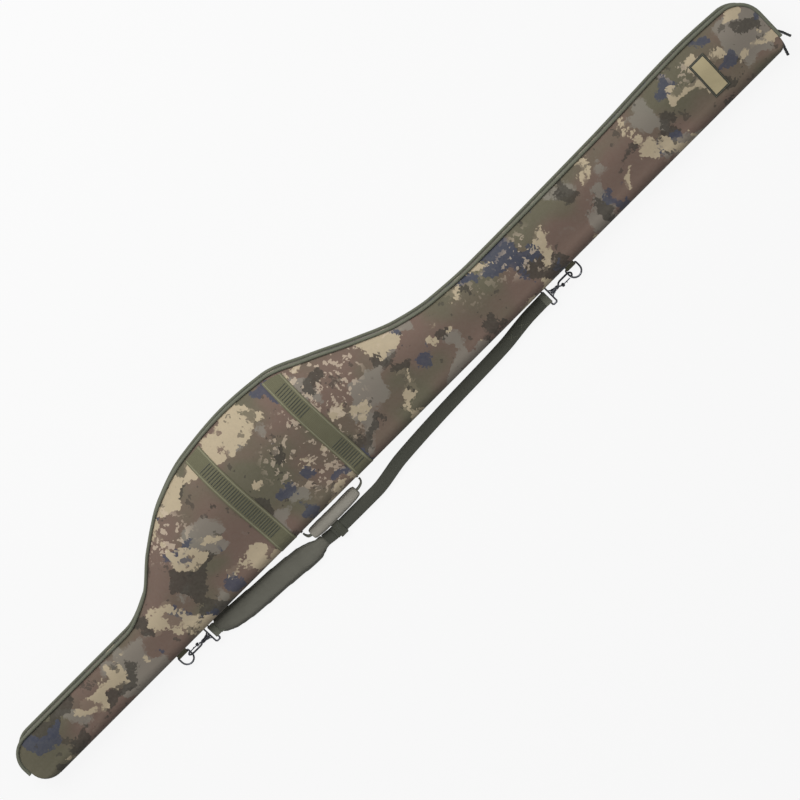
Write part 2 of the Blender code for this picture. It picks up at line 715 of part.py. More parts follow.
def combine(mesh, others, operation):
    """One closed body from a mesh that is joined with others or cut by them."""
    helpers = []
    for shape in [mesh] + others:
        helper = bpy.data.objects.new("helper", shape)
        helper.hide_render = True
        helper.display_type = "WIRE"
        CUTTERS.objects.link(helper)
        helpers.append(helper)
    base = helpers[0]
    for helper in helpers[1:]:
        modifier = base.modifiers.new("combine", "BOOLEAN")
        modifier.operation = operation
        modifier.object = helper
    bpy.context.view_layer.update()
    result = bpy.data.meshes.new_from_object(base.evaluated_get(bpy.context.evaluated_depsgraph_get()))
    for helper in helpers:
        bpy.data.objects.remove(helper, do_unlink=True)
    bm = bmesh.new()
    bm.from_mesh(result)
    bpy.data.meshes.remove(result)
    return mesh_of(bm)


def turned_mesh(radii, sides, bore=0.0):
    """Round body along local X from (s, radius) pairs, with a bore or solid."""
    frames = [(Vector((s, 0, 0)), Vector((0, 1, 0)), Vector((0, 0, 1))) for s, r in radii]
    if not bore:
        return sweep_mesh(frames, circle(1.0, sides), scale=[(r, r) for s, r in radii])
    loop = [(s, r) for s, r in radii] + [(radii[-1][0], bore), (radii[0][0], bore)]
    bm = bmesh.new()
    rings = []
    for i in range(sides):
        a = 2 * pi * i / sides
        rings.append([bm.verts.new((s, r * cos(a), r * sin(a))) for s, r in loop])
    for left, right in zip(rings, rings[1:] + rings[:1]):
        for i in range(len(loop)):
            j = (i + 1) % len(loop)
            bm.faces.new((left[i], left[j], right[j], right[i]))
    return mesh_of(bm)


def post_mesh(s, t, radius, half):
    """Short round post across the hook's plane."""
    frames = [(Vector((s, t, z)), Vector((1, 0, 0)), Vector((0, 1, 0))) for z in (-half, half)]
    return sweep_mesh(frames, circle(radius, 12))


def hook_body_mesh():
    """Bent wire hook with its turning stem and the lug that carries the gate."""
    half = HOOK_HALF
    centre = HOOK_END - half
    route = metres(SHANK_ROUTE) + [(HOOK_PIVOT_S, -half), (centre, -half)]
    for a in range(30, 180, 30):
        route.append((centre + half * sin(radians(a)), -half * cos(radians(a))))
    route.append((HOOK_NOSE_S, half * 0.96))
    wire = sweep_mesh(plan_frames(route, 0.0), circle(HOOK_WIRE, 8))
    stem = turned_mesh(metres(STEM_PROFILE), 12)
    bridge_route = metres(BRIDGE_ROUTE) + [(HOOK_PIVOT_S, half)]
    bridge = sweep_mesh(plan_frames(bridge_route, 0.0), circle(HOOK_WIRE * 0.9, 8))
    lug = post_mesh(HOOK_PIVOT_S, half, LUG_R, LUG_HALF)
    body = combine(wire, [stem, bridge, lug], "UNION")
    slot_half = GATE_R + 0.35 * MM
    fork = box_mesh((HOOK_PIVOT_S - LUG_R - 0.4 * MM, half - LUG_R - 0.6 * MM, -slot_half),
                    (HOOK_PIVOT_S + LUG_R * 2, half + LUG_R * 2, slot_half))
    hole = post_mesh(HOOK_PIVOT_S, half, PIN_R + PIN_GAP, LUG_HALF * 2)
    return combine(body, [fork, hole], "DIFFERENCE")


def gate_mesh():
    """Thin push gate with an eye on its pin and a thumb nub."""
    half = HOOK_HALF
    route = [(HOOK_PIVOT_S + PIN_R + PIN_GAP, half), (HOOK_NOSE_S - GATE_SHORT, half)]
    bar = sweep_mesh(plan_frames(route, 0.0), circle(GATE_R, 8))
    eye = post_mesh(HOOK_PIVOT_S, half, LUG_R * 0.75, GATE_R)
    nub_s, nub_t, nub_r = NUB
    nub = turned_mesh([(-nub_t, nub_r), (nub_t, nub_r)], 8)
    place = Matrix.Translation((HOOK_PIVOT_S + nub_s, half + nub_t, 0))
    nub.transform(place @ Matrix.Rotation(pi / 2, 4, "Z"))
    solid = combine(bar, [eye, nub], "UNION")
    return combine(solid, [post_mesh(HOOK_PIVOT_S, half, PIN_R + PIN_GAP, LUG_HALF * 2)], "DIFFERENCE")


def strap_loop_mesh():
    """Swivel collar and the flat loop that the strap is sewn round."""
    collar = turned_mesh(metres(COLLAR_PROFILE), 12, STEM_BORE)
    long, wide = LOOP_SIZE
    near, far = -LOOP_START, -LOOP_START - long
    corner = 2 * MM
    route = [(near, wide / 2 - corner), (near - corner, wide / 2), (far + corner, wide / 2),
             (far, wide / 2 - corner)]
    route += [(s, -t) for s, t in reversed(route)]
    pieces = [sweep_mesh(plan_frames(route, 0.0, cyclic=True), circle(LOOP_WIRE, 8), cyclic=True)]
    for side in (-1, 1):
        arm = [(s, side * t) for s, t in metres(ARM_ROUTE)]
        pieces.append(sweep_mesh(plan_frames(arm, 0.0), circle(LOOP_WIRE * 0.8, 8)))
    return combine(collar, pieces, "UNION")


def snap_hook(end):
    """Swivel base, hook body, gate and its pin at one end of the strap."""
    place = hook_matrix(end)
    swivel = place.translation
    level = Matrix.Translation(swivel) @ Matrix.Rotation(pi if end == "butt" else 0.0, 4, "Z")
    base = strap_loop_mesh()
    base.transform(level)
    add_part("hook_base_" + end, base, "metal", (0.0, SWING_Y, SWING_Z), smooth=True)
    body = hook_body_mesh()
    body.transform(place)
    add_part("hook_body_" + end, body, "metal", swivel, smooth=True)
    pivot = place @ Vector((HOOK_PIVOT_S, HOOK_HALF, 0.0))
    pin = post_mesh(HOOK_PIVOT_S, HOOK_HALF, PIN_R, LUG_HALF)
    pin.transform(place)
    add_part("gate_pin_" + end, pin, "metal", pivot)
    gate = gate_mesh()
    gate.transform(place)
    add_part("gate_" + end, gate, "metal", pivot, smooth=True)


def strap_end_loop(name, end, pivot):
    """Webbing turned round the strap loop's far bar and stitched flat behind it."""
    toward = 1 if end == "butt" else -1
    swivel = hook_matrix(end).translation
    bar_x = swivel.x + toward * (LOOP_START + LOOP_SIZE[0])
    inner = LOOP_WIRE + PIVOT_GAP
    outer = inner + STRAP_T
    reach, half_end = LOOP_WEB
    steps = 8
    turn = [radians(90 + 180 * i / steps) for i in range(steps + 1)]
    outline = [(outer * cos(a), outer * sin(a)) for a in turn]
    low = outer * 0.9
    outline += [(reach / 2, -low), (reach, -half_end), (reach, half_end), (reach / 2, low)]
    mesh = extruded_profile(outline, [circle(inner, 12)], -STRAP_W / 2, STRAP_W / 2)
    mesh.transform(Matrix(((0, toward, 0, bar_x), (1, 0, 0, swivel.y), (0, 0, 1, SWING_Z), (0, 0, 0, 1))))
    bm = bmesh.new()
    bm.from_mesh(mesh)
    return add_part(name, mesh_of(bm), "strap", pivot)


def zip_slider(which):
    """Slider plate over the coil with a foot under the back tape's coil and a bail."""
    y = SLIDER_Y[which]
    gap = 0.4 * MM
    face = TIP_X + COIL_OUT + gap
    thick, wide = SLIDER_SIZE
    front = face + thick
    low, high = SLIDER_Z
    plate = box_mesh((face, y - wide / 2, low), (front, y + wide / 2, high), SLIDER_BEVEL)
    foot_low = HINGE_Z - GUSSET_SPAN[0] + 1 * MM
    foot_top = HINGE_Z - COIL_HALF - gap
    foot = box_mesh((TIP_X + gap, y - wide / 2, foot_low), (face + thick / 2, y + wide / 2, foot_top))
    half_y, half_z = EAR_HALF
    pin_x = front + PULL_REACH
    ears = []
    for z in (PULL_Z - EAR_Z, PULL_Z + EAR_Z):
        low_corner = (face + thick / 2, y - half_y, z - half_z)
        ears.append(box_mesh(low_corner, (pin_x + half_y, y + half_y, z + half_z)))
    pin = post_mesh(pin_x, y, PULL_PIN_R, EAR_Z + half_z / 4)
    pin.transform(Matrix.Translation((0, 0, PULL_Z)))
    mesh = combine(plate, [foot] + ears + [pin], "UNION")
    add_part("zip_slider_" + which, mesh, "metal", (face, y, HINGE_Z))
    return Vector((pin_x, y, PULL_Z))


def zip_pull(which, pivot):
    """Flat pull with an eye round the slider's pin."""
    length = PULL_SIZE[which] / MM
    ribs, pitch, waist = PULL_RIBS
    shape = list(PULL_NECK)
    for i in range(ribs):
        start = length - 2 - pitch * (ribs - i)
        shape += [(start, 1.0), (start + pitch * 0.3, waist), (start + pitch * 0.7, waist)]
    shape += [(length - 2, 1.0), (length, 0.7)]
    frames = [(Vector((s * MM, 0, 0)), Vector((0, 1, 0)), Vector((0, 0, 1))) for s, k in shape]
    wide, tall = PULL_HALF
    profile = rectangle((-wide, -tall), (wide, tall))
    body = sweep_mesh(frames, profile, scale=[(k, k) for s, k in shape])
    joined = combine(body, [post_mesh(0.0, 0.0, PULL_EYE_R, PULL_EYE_HALF)], "UNION")
    mesh = combine(joined, [post_mesh(0.0, 0.0, PULL_PIN_R + PULL_GAP, EAR_Z)], "DIFFERENCE")
    mesh.transform(Matrix.Translation(pivot) @ Matrix.Rotation(PULL_TURN[which], 4, "Z"))
    return add_part("zip_pull_" + which, mesh, "pull", pivot)


def build():
    hinge = (0.0, SPINE_Y, HINGE_Z)
    floor = (0.0, 0.0, 0.0)
    sheet("back_panel", "back", COVER, (BUTT_X, TIP_X), "camo", floor)
    spine_strip("back_spine", "back", COVER, "camo", floor)
    layer("front_panel", "front", COVER, False, "camo", hinge)
    for half, origin in (("back", floor), ("front", hinge)):
        foam(half, origin)
        layer(half + "_lining", half, LINING, True, "lining", origin)
        edge_trim(half, origin)
        for end, x in BAND_X.items():
            band(f"{half}_band_{end}", half, x, origin)
    label_patch(hinge)
    pivot = (0.0, SWING_Y, SWING_Z)
    for end in ("butt", "tip"):
        rod_strap("rod_strap_" + end, ROD_STRAP_X[end])
        d_ring_tab(end)
        d_ring(end)
        snap_hook(end)
        strap_end_loop("strap_loop_" + end, end, pivot)
    for name, x in zip(("handle_tab_butt", "handle_tab_tip"), HANDLE_X):
        handle_tab(name, x)
    handle()
    shoulder_pad(pivot)
    strap_webbing("strap_lower", pivot)
    strap_webbing("strap_upper", pivot)
    adjuster(pivot)
    for which in ("upper", "lower"):
        zip_pull(which, zip_slider(which))


clear_scene()
PARTS = new_collection("rod_case")
CUTTERS = new_collection("cutters")
build()
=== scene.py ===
"""Looks of the rod case: camouflage cloth, webbing, zip, padding and hardware."""
from math import cos, pi, radians, sin, sqrt

import bmesh
import bpy
from mathutils import Matrix, Vector, noise
from mathutils.bvhtree import BVHTree


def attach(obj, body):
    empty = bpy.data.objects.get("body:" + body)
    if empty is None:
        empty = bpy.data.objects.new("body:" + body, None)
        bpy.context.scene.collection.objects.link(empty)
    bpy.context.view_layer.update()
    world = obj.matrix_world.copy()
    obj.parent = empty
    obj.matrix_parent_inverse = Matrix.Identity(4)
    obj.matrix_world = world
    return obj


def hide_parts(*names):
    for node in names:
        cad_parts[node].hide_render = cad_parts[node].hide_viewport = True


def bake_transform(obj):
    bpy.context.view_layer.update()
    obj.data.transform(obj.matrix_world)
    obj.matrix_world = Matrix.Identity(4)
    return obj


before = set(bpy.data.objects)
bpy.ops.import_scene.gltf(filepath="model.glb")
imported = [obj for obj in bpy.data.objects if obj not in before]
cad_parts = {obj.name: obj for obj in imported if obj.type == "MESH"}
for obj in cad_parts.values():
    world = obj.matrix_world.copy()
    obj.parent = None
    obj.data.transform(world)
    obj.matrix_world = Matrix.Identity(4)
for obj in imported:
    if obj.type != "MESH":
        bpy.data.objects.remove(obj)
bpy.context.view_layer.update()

MM = 0.001

# Plan and heights of the sewn body, as in the solids.
BUTT_X, TIP_X, SPINE_Y = -970 * MM, 970 * MM, -100 * MM
WIDTH_KNOTS = [
    (-975, 97), (-655, 97), (-580, 122), (-506, 180), (-432, 225), (-340, 253),
    (-230, 262), (-130, 254), (-45, 219), (40, 178), (115, 147), (190, 131),
    (290, 125), (600, 128), (825, 135), (975, 127),
]
BUTT_BELLY_R, BUTT_SPINE_R = 42 * MM, 33 * MM
TIP_BELLY_R, TIP_SPINE_R = 48 * MM, 15.5 * MM
HINGE_Z, FRONT_SEAM_Z, BACK_SEAM_Z = 27 * MM, 49 * MM, 5 * MM
SPINE_ROUND, END_ROUND, END_BLEND = 26 * MM, 8 * MM, 60 * MM
CROWN_RATIO, CROWN_BASE, CROWN_SKEW = 0.13, 55 * MM, 1.4
RIM_GAP = 0.25 * MM
HALF_GUSSET = 22 * MM
GUSSET_SPAN = (8.3 * MM, 20.1 * MM)
BEAD_R, BEAD_OUT, BEAD_UP = 3.0 * MM, 3.0 * MM, 1.6 * MM
COVER_T = 1.3 * MM
LINING_DEPTH, LINING_SAG = 9.2 * MM, 1.4 * MM
BACK_EDGE = 28 * MM

# Bands, label, strap and handle, as in the solids.
BAND_W, BAND_X = 40 * MM, {"butt": -318 * MM, "tip": -116 * MM}
BAND_OFF, BAND_T, BAND_START = 0.6 * MM, 1.5 * MM, radians(24)
SELVEDGE_AT, SELVEDGE_SHARE = 0.84, 0.09
LADDERS = {"butt": ((0.15, 0.86),), "tip": ((0.08, 0.31), (0.64, 0.90))}
RUNG_PITCH, RUNG_SHARE = 5.6 * MM, 0.62
LABEL_X, LABEL_Y, LABEL_SIZE = 832 * MM, SPINE_Y + 67 * MM, (37 * MM, 78 * MM)
SWING_Y, SWING_Z = SPINE_Y - 8 * MM, 11 * MM
STRAP_W, STRAP_T = 25 * MM, 1.6 * MM
STRAP_ROUTE = [(-274, 48.5), (-268, 49), (-250, 51), (-140, 51), (-60, 40), (60, 33),
               (220, 28), (300, 19.5), (330, 18.5)]
STRAP_Z = {"strap_lower": 2.6 * MM, "strap_upper": 6.2 * MM}
STRAP_RISE = {"strap_lower": 6.2 * MM, "strap_upper": 5.2 * MM}
STRAP_START = {"strap_lower": -272, "strap_upper": -250}
STRAP_END = 332.6
RISE_X = (240 * MM, 330 * MM)
PAD_ROUTE = [(-532.4, 20, 26), (-522, 22, 38), (-500, 27, 47), (-450, 33, 50), (-380, 38, 50),
             (-325, 44, 49), (-300, 47.5, 42), (-285, 48.9, 31), (-269.2, 48.8, 25)]
PAD_HEIGHT, PAD_FLOOR = 12 * MM, 0.5 * MM
PRESSURE, CLOTH_FRAMES = 4.0, 20
PAD_START, CHANNEL_AT, CHANNEL_W, CHANNEL_DEEP = 1.03, 0.80, 2.6 * MM, 0.9 * MM
HANDLE_X, HANDLE_Y = (-290 * MM, -142 * MM), SPINE_Y - 21 * MM
GRIP_X, GRIP_SIZE = (-281 * MM, -161 * MM), (25.4 * MM, 17.4 * MM)
GRIP_START = 1.06

# Camera: photo scale and the photo's own tilt and roll.
MM_PER_PIXEL = 1.853 * MM
IMAGE_PIXELS = 800
VIEW_CENTRE = (17.4 * MM, -57.8 * MM, 20 * MM)
VIEW_TILT_X, VIEW_TILT_Y, VIEW_ROLL = radians(5), radians(10), radians(45.85)
VIEW_DISTANCE = 4.0
SENSOR = 36.0


def srgb(code):
    """Linear colour from a six-digit web colour."""
    parts = [int(code[i:i + 2], 16) / 255 for i in (0, 2, 4)]
    linear = [p / 12.92 if p <= 0.04045 else ((p + 0.055) / 1.055) ** 2.4 for p in parts]
    return (*linear, 1.0)


class Value:
    """A socket that takes part in Python expressions."""

    def __init__(self, finish, socket):
        self.finish = finish
        self.socket = socket

    def _math(self, operation, a, b):
        return self.finish.node("ShaderNodeMath", {"operation": operation}, {0: a, 1: b})

    def __add__(self, other):
        return self._math("ADD", self, other)

    def __sub__(self, other):
        return self._math("SUBTRACT", self, other)

    def __rsub__(self, other):
        return self._math("SUBTRACT", other, self)

    def __mul__(self, other):
        return self._math("MULTIPLY", self, other)

    def __pow__(self, other):
        return self._math("POWER", self, other)

    __radd__ = __add__
    __rmul__ = __mul__


class Finish:
    """A material with one Principled shader and nodes made by one method."""

    def __init__(self, name, **constants):
        self.material = bpy.data.materials.new(name)
        self.material.use_nodes = True
        self.tree = self.material.node_tree
        self.shader = self.tree.nodes["Principled BSDF"]
        for socket, value in constants.items():
            self.shader.inputs[socket.replace("_", " ")].default_value = value
        self.place = self.node("ShaderNodeTexCoord", out="Object")

    def node(self, kind, settings=None, inputs=None, out=0):
        made = self.tree.nodes.new(kind)
        for key, value in (settings or {}).items():
            if key == "stops":
                self._stops(made.color_ramp, value)
            else:
                setattr(made, key, value)
        for key, value in (inputs or {}).items():
            if isinstance(value, Value):
                self.tree.links.new(value.socket, made.inputs[key])
            else:
                made.inputs[key].default_value = value
        return Value(self, made.outputs[out])

    def _stops(self, ramp, stops):
        while len(ramp.elements) > 1:
            ramp.elements.remove(ramp.elements[-1])
        ramp.elements[0].position, ramp.elements[0].color = stops[0]
        for position, colour in stops[1:]:
            ramp.elements.new(position).color = colour

    def feed(self, socket, value):
        self.tree.links.new(value.socket, self.shader.inputs[socket])

    def noise(self, scale, detail=2.0, rough=0.5, at=None):
        settings = {"Scale": scale, "Detail": detail, "Roughness": rough, "Vector": at or self.place}
        return self.node("ShaderNodeTexNoise", None, settings)

    def noise_colour(self, scale, detail=2.0, at=None):
        settings = {"Scale": scale, "Detail": detail, "Vector": at or self.place}
        return self.node("ShaderNodeTexNoise", None, settings, 1)

    def step(self, value, low, high):
        """0 below low, 1 above high, smooth between."""
        return self.node("ShaderNodeMapRange", {"interpolation_type": "SMOOTHSTEP"},
                         {"Value": value, "From Min": low, "From Max": high})

    def mix(self, factor, first, second, blend="MIX"):
        return self.node("ShaderNodeMix", {"data_type": "RGBA", "blend_type": blend},
                         {0: factor, 6: first, 7: second}, 2)

    def vector(self, operation, a, b=None, scale=None):
        inputs = {0: a}
        if b is not None:
            inputs[1] = b
        if scale is not None:
            inputs["Scale"] = scale
        return self.node("ShaderNodeVectorMath", {"operation": operation}, inputs)

    def moved(self, offset, stretch=(1, 1, 1)):
        settings = {"Vector": self.place, "Location": offset, "Scale": stretch}
        return self.node("ShaderNodeMapping", None, settings)

    def bump(self, height, distance, strength=1.0):
        settings = {"Height": height, "Distance": distance, "Strength": strength}
        self.feed("Normal", self.node("ShaderNodeBump", None, settings))

    def weave(self, pitch):
        """Small square weave, 0 to 1, from two crossed waves."""
        waves = []
        for axis in ("X", "Y"):
            waves.append(self.node("ShaderNodeTexWave", {"bands_direction": axis},
                                   {"Scale": 0.314 / pitch, "Distortion": 0.6, "Detail": 1.0,
                                    "Vector": self.place}, 1))
        return waves[0] * 0.5 + waves[1] * 0.5


# Finishes

BROWN, OLIVE, GREY = srgb("69554b"), srgb("5a5644"), srgb("7f7a70")
TAN, PALE, NAVY, DARK = srgb("b2a388"), srgb("bfae99"), srgb("333a4e"), srgb("2c2822")


def camouflage(name, shift):
    """Printed camouflage cloth: soft brown and olive ground under ragged blotches and spatter."""
    f = Finish(name, Roughness=0.82, Sheen_Weight=0.1)
    f.shader.inputs["Specular IOR Level"].default_value = 0.25
    moved = f.moved(shift)
    cells = f.node("ShaderNodeTexVoronoi", None, {"Scale": 210, "Vector": moved}, "Position")
    swirl = f.vector("SCALE", f.vector("SUBTRACT", f.noise_colour(11, 2.0), (0.5, 0.5, 0.5)), scale=0.07)
    ragged = f.vector("ADD", cells, swirl)

    def blotch(scale, offset, low, high, detail=2.0, at=ragged):
        return f.step(f.noise(scale, detail, 0.5, f.vector("ADD", at, offset)), low, high)

    colour = f.mix(blotch(6, (0.3, 0.9, 0.1), 0.42, 0.60, 2.0, moved), BROWN, OLIVE)
    colour = f.mix(blotch(8, (4.4, 1.2, 0.8), 0.575, 0.60) * 0.75, colour, GREY)
    colour = f.mix(blotch(13, (3.1, 1.7, 0.4), 0.585, 0.60) * 0.8, colour, DARK)
    colour = f.mix(blotch(12, (7.3, 2.9, 1.4), 0.61, 0.625) * 0.85, colour, NAVY)
    patch = blotch(12, (1.9, 8.3, 2.2), 0.585, 0.595)
    bitten = blotch(34, (6.2, 0.7, 1.1), 0.56, 0.60)
    colour = f.mix(patch * (1.0 - 0.85 * bitten) * 0.92, colour, TAN)
    region = blotch(4, (2.7, 5.2, 0.6), 0.55, 0.64, 1.0, moved)
    spatter = blotch(75, (5.7, 4.1, 0.9), 0.585, 0.60, 1.0)
    colour = f.mix(spatter * region * 0.65, colour, PALE)
    twigs = blotch(45, (2.2, 6.6, 3.3), 0.66, 0.68)
    colour = f.mix(twigs * 0.6, colour, DARK)
    fade = f.noise(180, 3.0)
    f.feed("Base Color", f.mix(0.25 * fade, colour, GREY))
    f.feed("Roughness", 0.78 + 0.12 * fade)
    f.bump(f.weave(0.0011) * 0.6 + f.noise(60, 2.0) * 1.2, 0.0004, 0.6)
    return f.material


def cloth(name, colour, light, pitch=0.0012, rough=0.85, depth=0.00035):
    """Plain woven cloth with a little fading."""
    f = Finish(name, Sheen_Weight=0.15)
    f.shader.inputs["Specular IOR Level"].default_value = 0.25
    woven = f.weave(pitch)
    mottled = f.noise(45, 3.0)
    f.feed("Base Color", f.mix(mottled * 0.5 + woven * 0.4, colour, light))
    f.feed("Roughness", rough - 0.1 * mottled)
    f.bump(woven + mottled * 0.8, depth, 0.7)
    return f.material


def webbing(name, colour, light, selvedge_tone_and_shade, along):
    """Ribbed webbing: ribs across its length, and an edge colour along its selvedges from an edge attribute:
    paler selvedge lines on the bands, and on the strap a darker edge that is painted shade.
    """
    f = Finish(name, Sheen_Weight=0.15)
    f.shader.inputs["Specular IOR Level"].default_value = 0.3
    ribs = f.node("ShaderNodeTexWave", {"bands_direction": along},
                  {"Scale": 0.314 / 0.0024, "Distortion": 0.3, "Vector": f.place}, 1)
    fine = f.weave(0.0011)
    worn = f.noise(35, 3.0)
    edge = f.node("ShaderNodeAttribute", {"attribute_name": "edge"}, None, "Fac")
    tone = f.mix(ribs * 0.35 + fine * 0.25 + worn * 0.3, colour, light)
    # Edge colour: the bands' paler selvedge lines are the webbing's own; the strap's darker edges are
    # painted shade of the gap between its two layers.
    tone = f.mix(edge * 0.7, tone, selvedge_tone_and_shade)
    f.feed("Base Color", tone)
    f.feed("Roughness", 0.9 - 0.15 * worn)
    f.bump(ribs * 0.8 + fine * 0.5, 0.0005, 0.8)
    return f.material


def gunmetal(name, tint, rough):
    """Dark plated metal with brushed wear."""
    f = Finish(name, Metallic=0.9)
    worn = f.noise(260, 4.0, 0.6)
    scuffs = f.step(f.noise(900, 2.0), 0.55, 0.75)
    f.feed("Base Color", f.mix(scuffs * 0.5, tint, srgb("8d9096")))
    f.feed("Roughness", rough + 0.2 * worn)
    f.bump(worn, 0.0001, 0.4)
    return f.material


def moulded(name, tint):
    """Moulded plastic with a fine grain."""
    f = Finish(name)
    grain = f.noise(1400, 2.0)
    f.feed("Base Color", f.mix(grain * 0.5, tint, srgb("4a4c4d")))
    f.feed("Roughness", 0.45 + 0.2 * grain)
    f.bump(grain, 0.00012, 0.6)
    return f.material


CAMO_FRONT = camouflage("camouflage_front", (0.35, 0.11, 0.0))
CAMO_BACK = camouflage("camouflage_back", (1.7, 0.6, 0.3))
CAMO_SIDE = camouflage("camouflage_side", (0.9, 0.35, 0.7))
PIPING = cloth("piping_cloth", srgb("595b4d"), srgb("6f7162"), 0.0009)
TAPE = cloth("zip_tape_cloth", srgb("2f3129"), srgb("45473c"), 0.0009)
COIL = moulded("zip_coil", srgb("26282a"))
BANDS = webbing("olive_band_webbing", srgb("504e3a"), srgb("716f58"), srgb("8d8a70"), "Y")
# The strap's dark third colour is its edge colour, painted shade of the gap between its two webbing layers.
STRAP = webbing("strap_webbing", srgb("4f5046"), srgb("77786b"), srgb("34352e"), "X")
PAD = cloth("pad_cloth", srgb("5a5950"), srgb("6c6b61"), 0.0012)
BINDING = cloth("binding_tape", srgb("43443b"), srgb("5d5e52"), 0.0009)
GRIP = cloth("grip_cloth", srgb("8a867b"), srgb("a09c92"), 0.0013)
LINING = cloth("lining_cloth", srgb("33342f"), srgb("454640"), 0.0013)
FOAM = cloth("foam_sheet", srgb("2e2e2e"), srgb("3c3c3c"), 0.003)
LABEL = cloth("label_cloth", srgb("9c9071"), srgb("b5a987"), 0.0010)
LABEL_EDGE = cloth("label_border", srgb("35352f"), srgb("4a4a42"), 0.0010)
THREAD = cloth("thread", srgb("6e6f5c"), srgb("8a8b76"), 0.0006)
DARK_THREAD = cloth("dark_thread", srgb("3b3c34"), srgb("505147"), 0.0006)
METAL = gunmetal("gunmetal", srgb("4b4d52"), 0.28)
ADJUSTER = gunmetal("adjuster_metal", srgb("5a5b50"), 0.45)
SLIDER = gunmetal("slider_metal", srgb("3a3c40"), 0.35)
PULL = moulded("pull_plastic", srgb("2b2d2f"))


# Shape of the case

def spline_at(knots, x):
    """Smooth curve through knots that never overshoots them."""
    slopes = [(b[1] - a[1]) / (b[0] - a[0]) for a, b in zip(knots, knots[1:])]
    tangents = [slopes[0]]
    for left, right in zip(slopes, slopes[1:]):
        tangents.append(2 * left * right / (left + right) if left * right > 0 else 0.0)
    tangents.append(slopes[-1])
    i = max(k for k in range(len(knots) - 1) if k == 0 or knots[k][0] <= x)
    span = knots[i + 1][0] - knots[i][0]
    t = min(1.0, max(0.0, (x - knots[i][0]) / span))
    rise = t * t * (3 - 2 * t)
    bend = t * (1 - t) * (1 - t) * span * tangents[i] - t * t * (1 - t) * span * tangents[i + 1]
    return knots[i][1] + (knots[i + 1][1] - knots[i][1]) * rise + bend


def zip_edge(x):
    return SPINE_Y + spline_at(WIDTH_KNOTS, x / MM) * MM


def edge_stretch(x):
    reach = 2 * MM
    slope = (zip_edge(x + reach) - zip_edge(x - reach)) / (2 * reach)
    return sqrt(1 + slope * slope)


def spine_side(x, depth):
    for end, radius, turn in ((BUTT_X, BUTT_SPINE_R, 1), (TIP_X, TIP_SPINE_R, -1)):
        into = radius - turn * (x - end)
        if into > 0:
            return SPINE_Y + radius - sqrt(max(0.0, (radius - depth) ** 2 - into ** 2))
    return SPINE_Y + depth


def plan_stations(depth, spacing):
    """Stations (x, spine y, zip y) along the case, close together at its corners."""
    near_butt, near_tip = BUTT_X + BUTT_BELLY_R, TIP_X - TIP_BELLY_R
    turns = [radians(90 * i / 10) for i in range(11)]
    stations = []
    for a in turns:
        x = near_butt - (BUTT_BELLY_R - depth) * cos(a)
        y = zip_edge(near_butt) - BUTT_BELLY_R + (BUTT_BELLY_R - depth) * sin(a)
        stations.append((x, spine_side(x, depth), y))
    count = int((near_tip - near_butt) / spacing)
    for i in range(1, count):
        x = near_butt + (near_tip - near_butt) * i / count
        stations.append((x, spine_side(x, depth), zip_edge(x) - depth * edge_stretch(x)))
    for a in reversed(turns):
        x = near_tip + (TIP_BELLY_R - depth) * cos(a)
        y = zip_edge(near_tip) - TIP_BELLY_R + (TIP_BELLY_R - depth) * sin(a)
        stations.append((x, spine_side(x, depth), y))
    return stations


def end_ease(x):
    near = min(1.0, max(0.0, min(x - BUTT_X, TIP_X - x) / END_BLEND))
    return near * near * (3 - 2 * near)


def smooth(t):
    t = min(1.0, max(0.0, t))
    return t * t * (3 - 2 * t)


def puff(x, y, from_edge):
    """Quilted softness of the padded cloth: low swells, and puckers along its seam."""
    swell = noise.noise(Vector((x * 9, y * 14, 1.7))) * 1.3 * MM
    pucker = noise.noise(Vector((x * 75, y * 75, 4.2))) * 0.9 * MM * smooth(1 - from_edge / (26 * MM))
    return (swell + pucker) * smooth(from_edge / (7 * MM))


def section(station, depth, half, wall, soft):
    """One cross-section from the spine rim, round the spine and over to the zip side."""
    x, low, high = station
    ease = end_ease(x)
    front = half == "front"
    side = 1 if front else -1
    rim = HINGE_Z + side * RIM_GAP
    seam = FRONT_SEAM_Z if front else BACK_SEAM_Z * (1 - ease)
    height = abs(seam - HINGE_Z) - depth
    across = max(END_ROUND + (SPINE_ROUND - END_ROUND) * ease - depth, MM)
    points = [Vector((x, low, rim))]
    turns = 10
    for i in range(1, turns + 1):
        a = radians(90 * i / turns)
        points.append(Vector((x, low + across * (1 - cos(a)), HINGE_Z + side * height * sin(a))))
    crown = max(0.0, CROWN_RATIO * (high - low - CROWN_BASE)) * ease
    steps = 34
    for k in range(1, steps + 1):
        s = k / steps
        y = low + across + s * (high - low - across)
        edge = min(high - y, x - BUTT_X, TIP_X - x)
        if front:
            z = seam - depth + crown * sin(pi * s ** CROWN_SKEW)
            inner = smooth((y - low) / (40 * MM))
            z += puff(x, y, edge) * soft * inner - LINING_SAG * (1 - soft) * inner * smooth(edge / (40 * MM))
        else:
            z = BACK_SEAM_Z * (1 - smooth(edge / BACK_EDGE)) * ease + seam * (1 - ease) + depth
        points.append(Vector((x, y, z)))
    if wall:
        drop = 6
        for k in range(1, drop + 1):
            points.append(Vector((x, high, points[-1].z + (rim - points[-1].z) * k / drop)))
    return points


def half_rows(depth, half, wall, soft, spacing):
    rows = [section(st, depth, half, wall, soft) for st in plan_stations(depth, spacing)]
    rim = HINGE_Z + (RIM_GAP if half == "front" else -RIM_GAP)
    round_points = 9
    for index in (0, -1):
        drop = len(rows[index]) if wall else round_points
        end = [Vector((p.x, p.y, rim)) if i < drop else p.copy() for i, p in enumerate(rows[index])]
        rows.insert(0 if index == 0 else len(rows), end)
    return rows


# Making pieces

def new_piece(name, mesh, material, body, replaced=()):
    mesh.name = name
    mesh.materials.clear()
    mesh.materials.append(material)
    obj = bpy.data.objects.new(name, mesh)
    bpy.context.scene.collection.objects.link(obj)
    if body:
        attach(obj, body)
    if replaced:
        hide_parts(*replaced)
    return obj


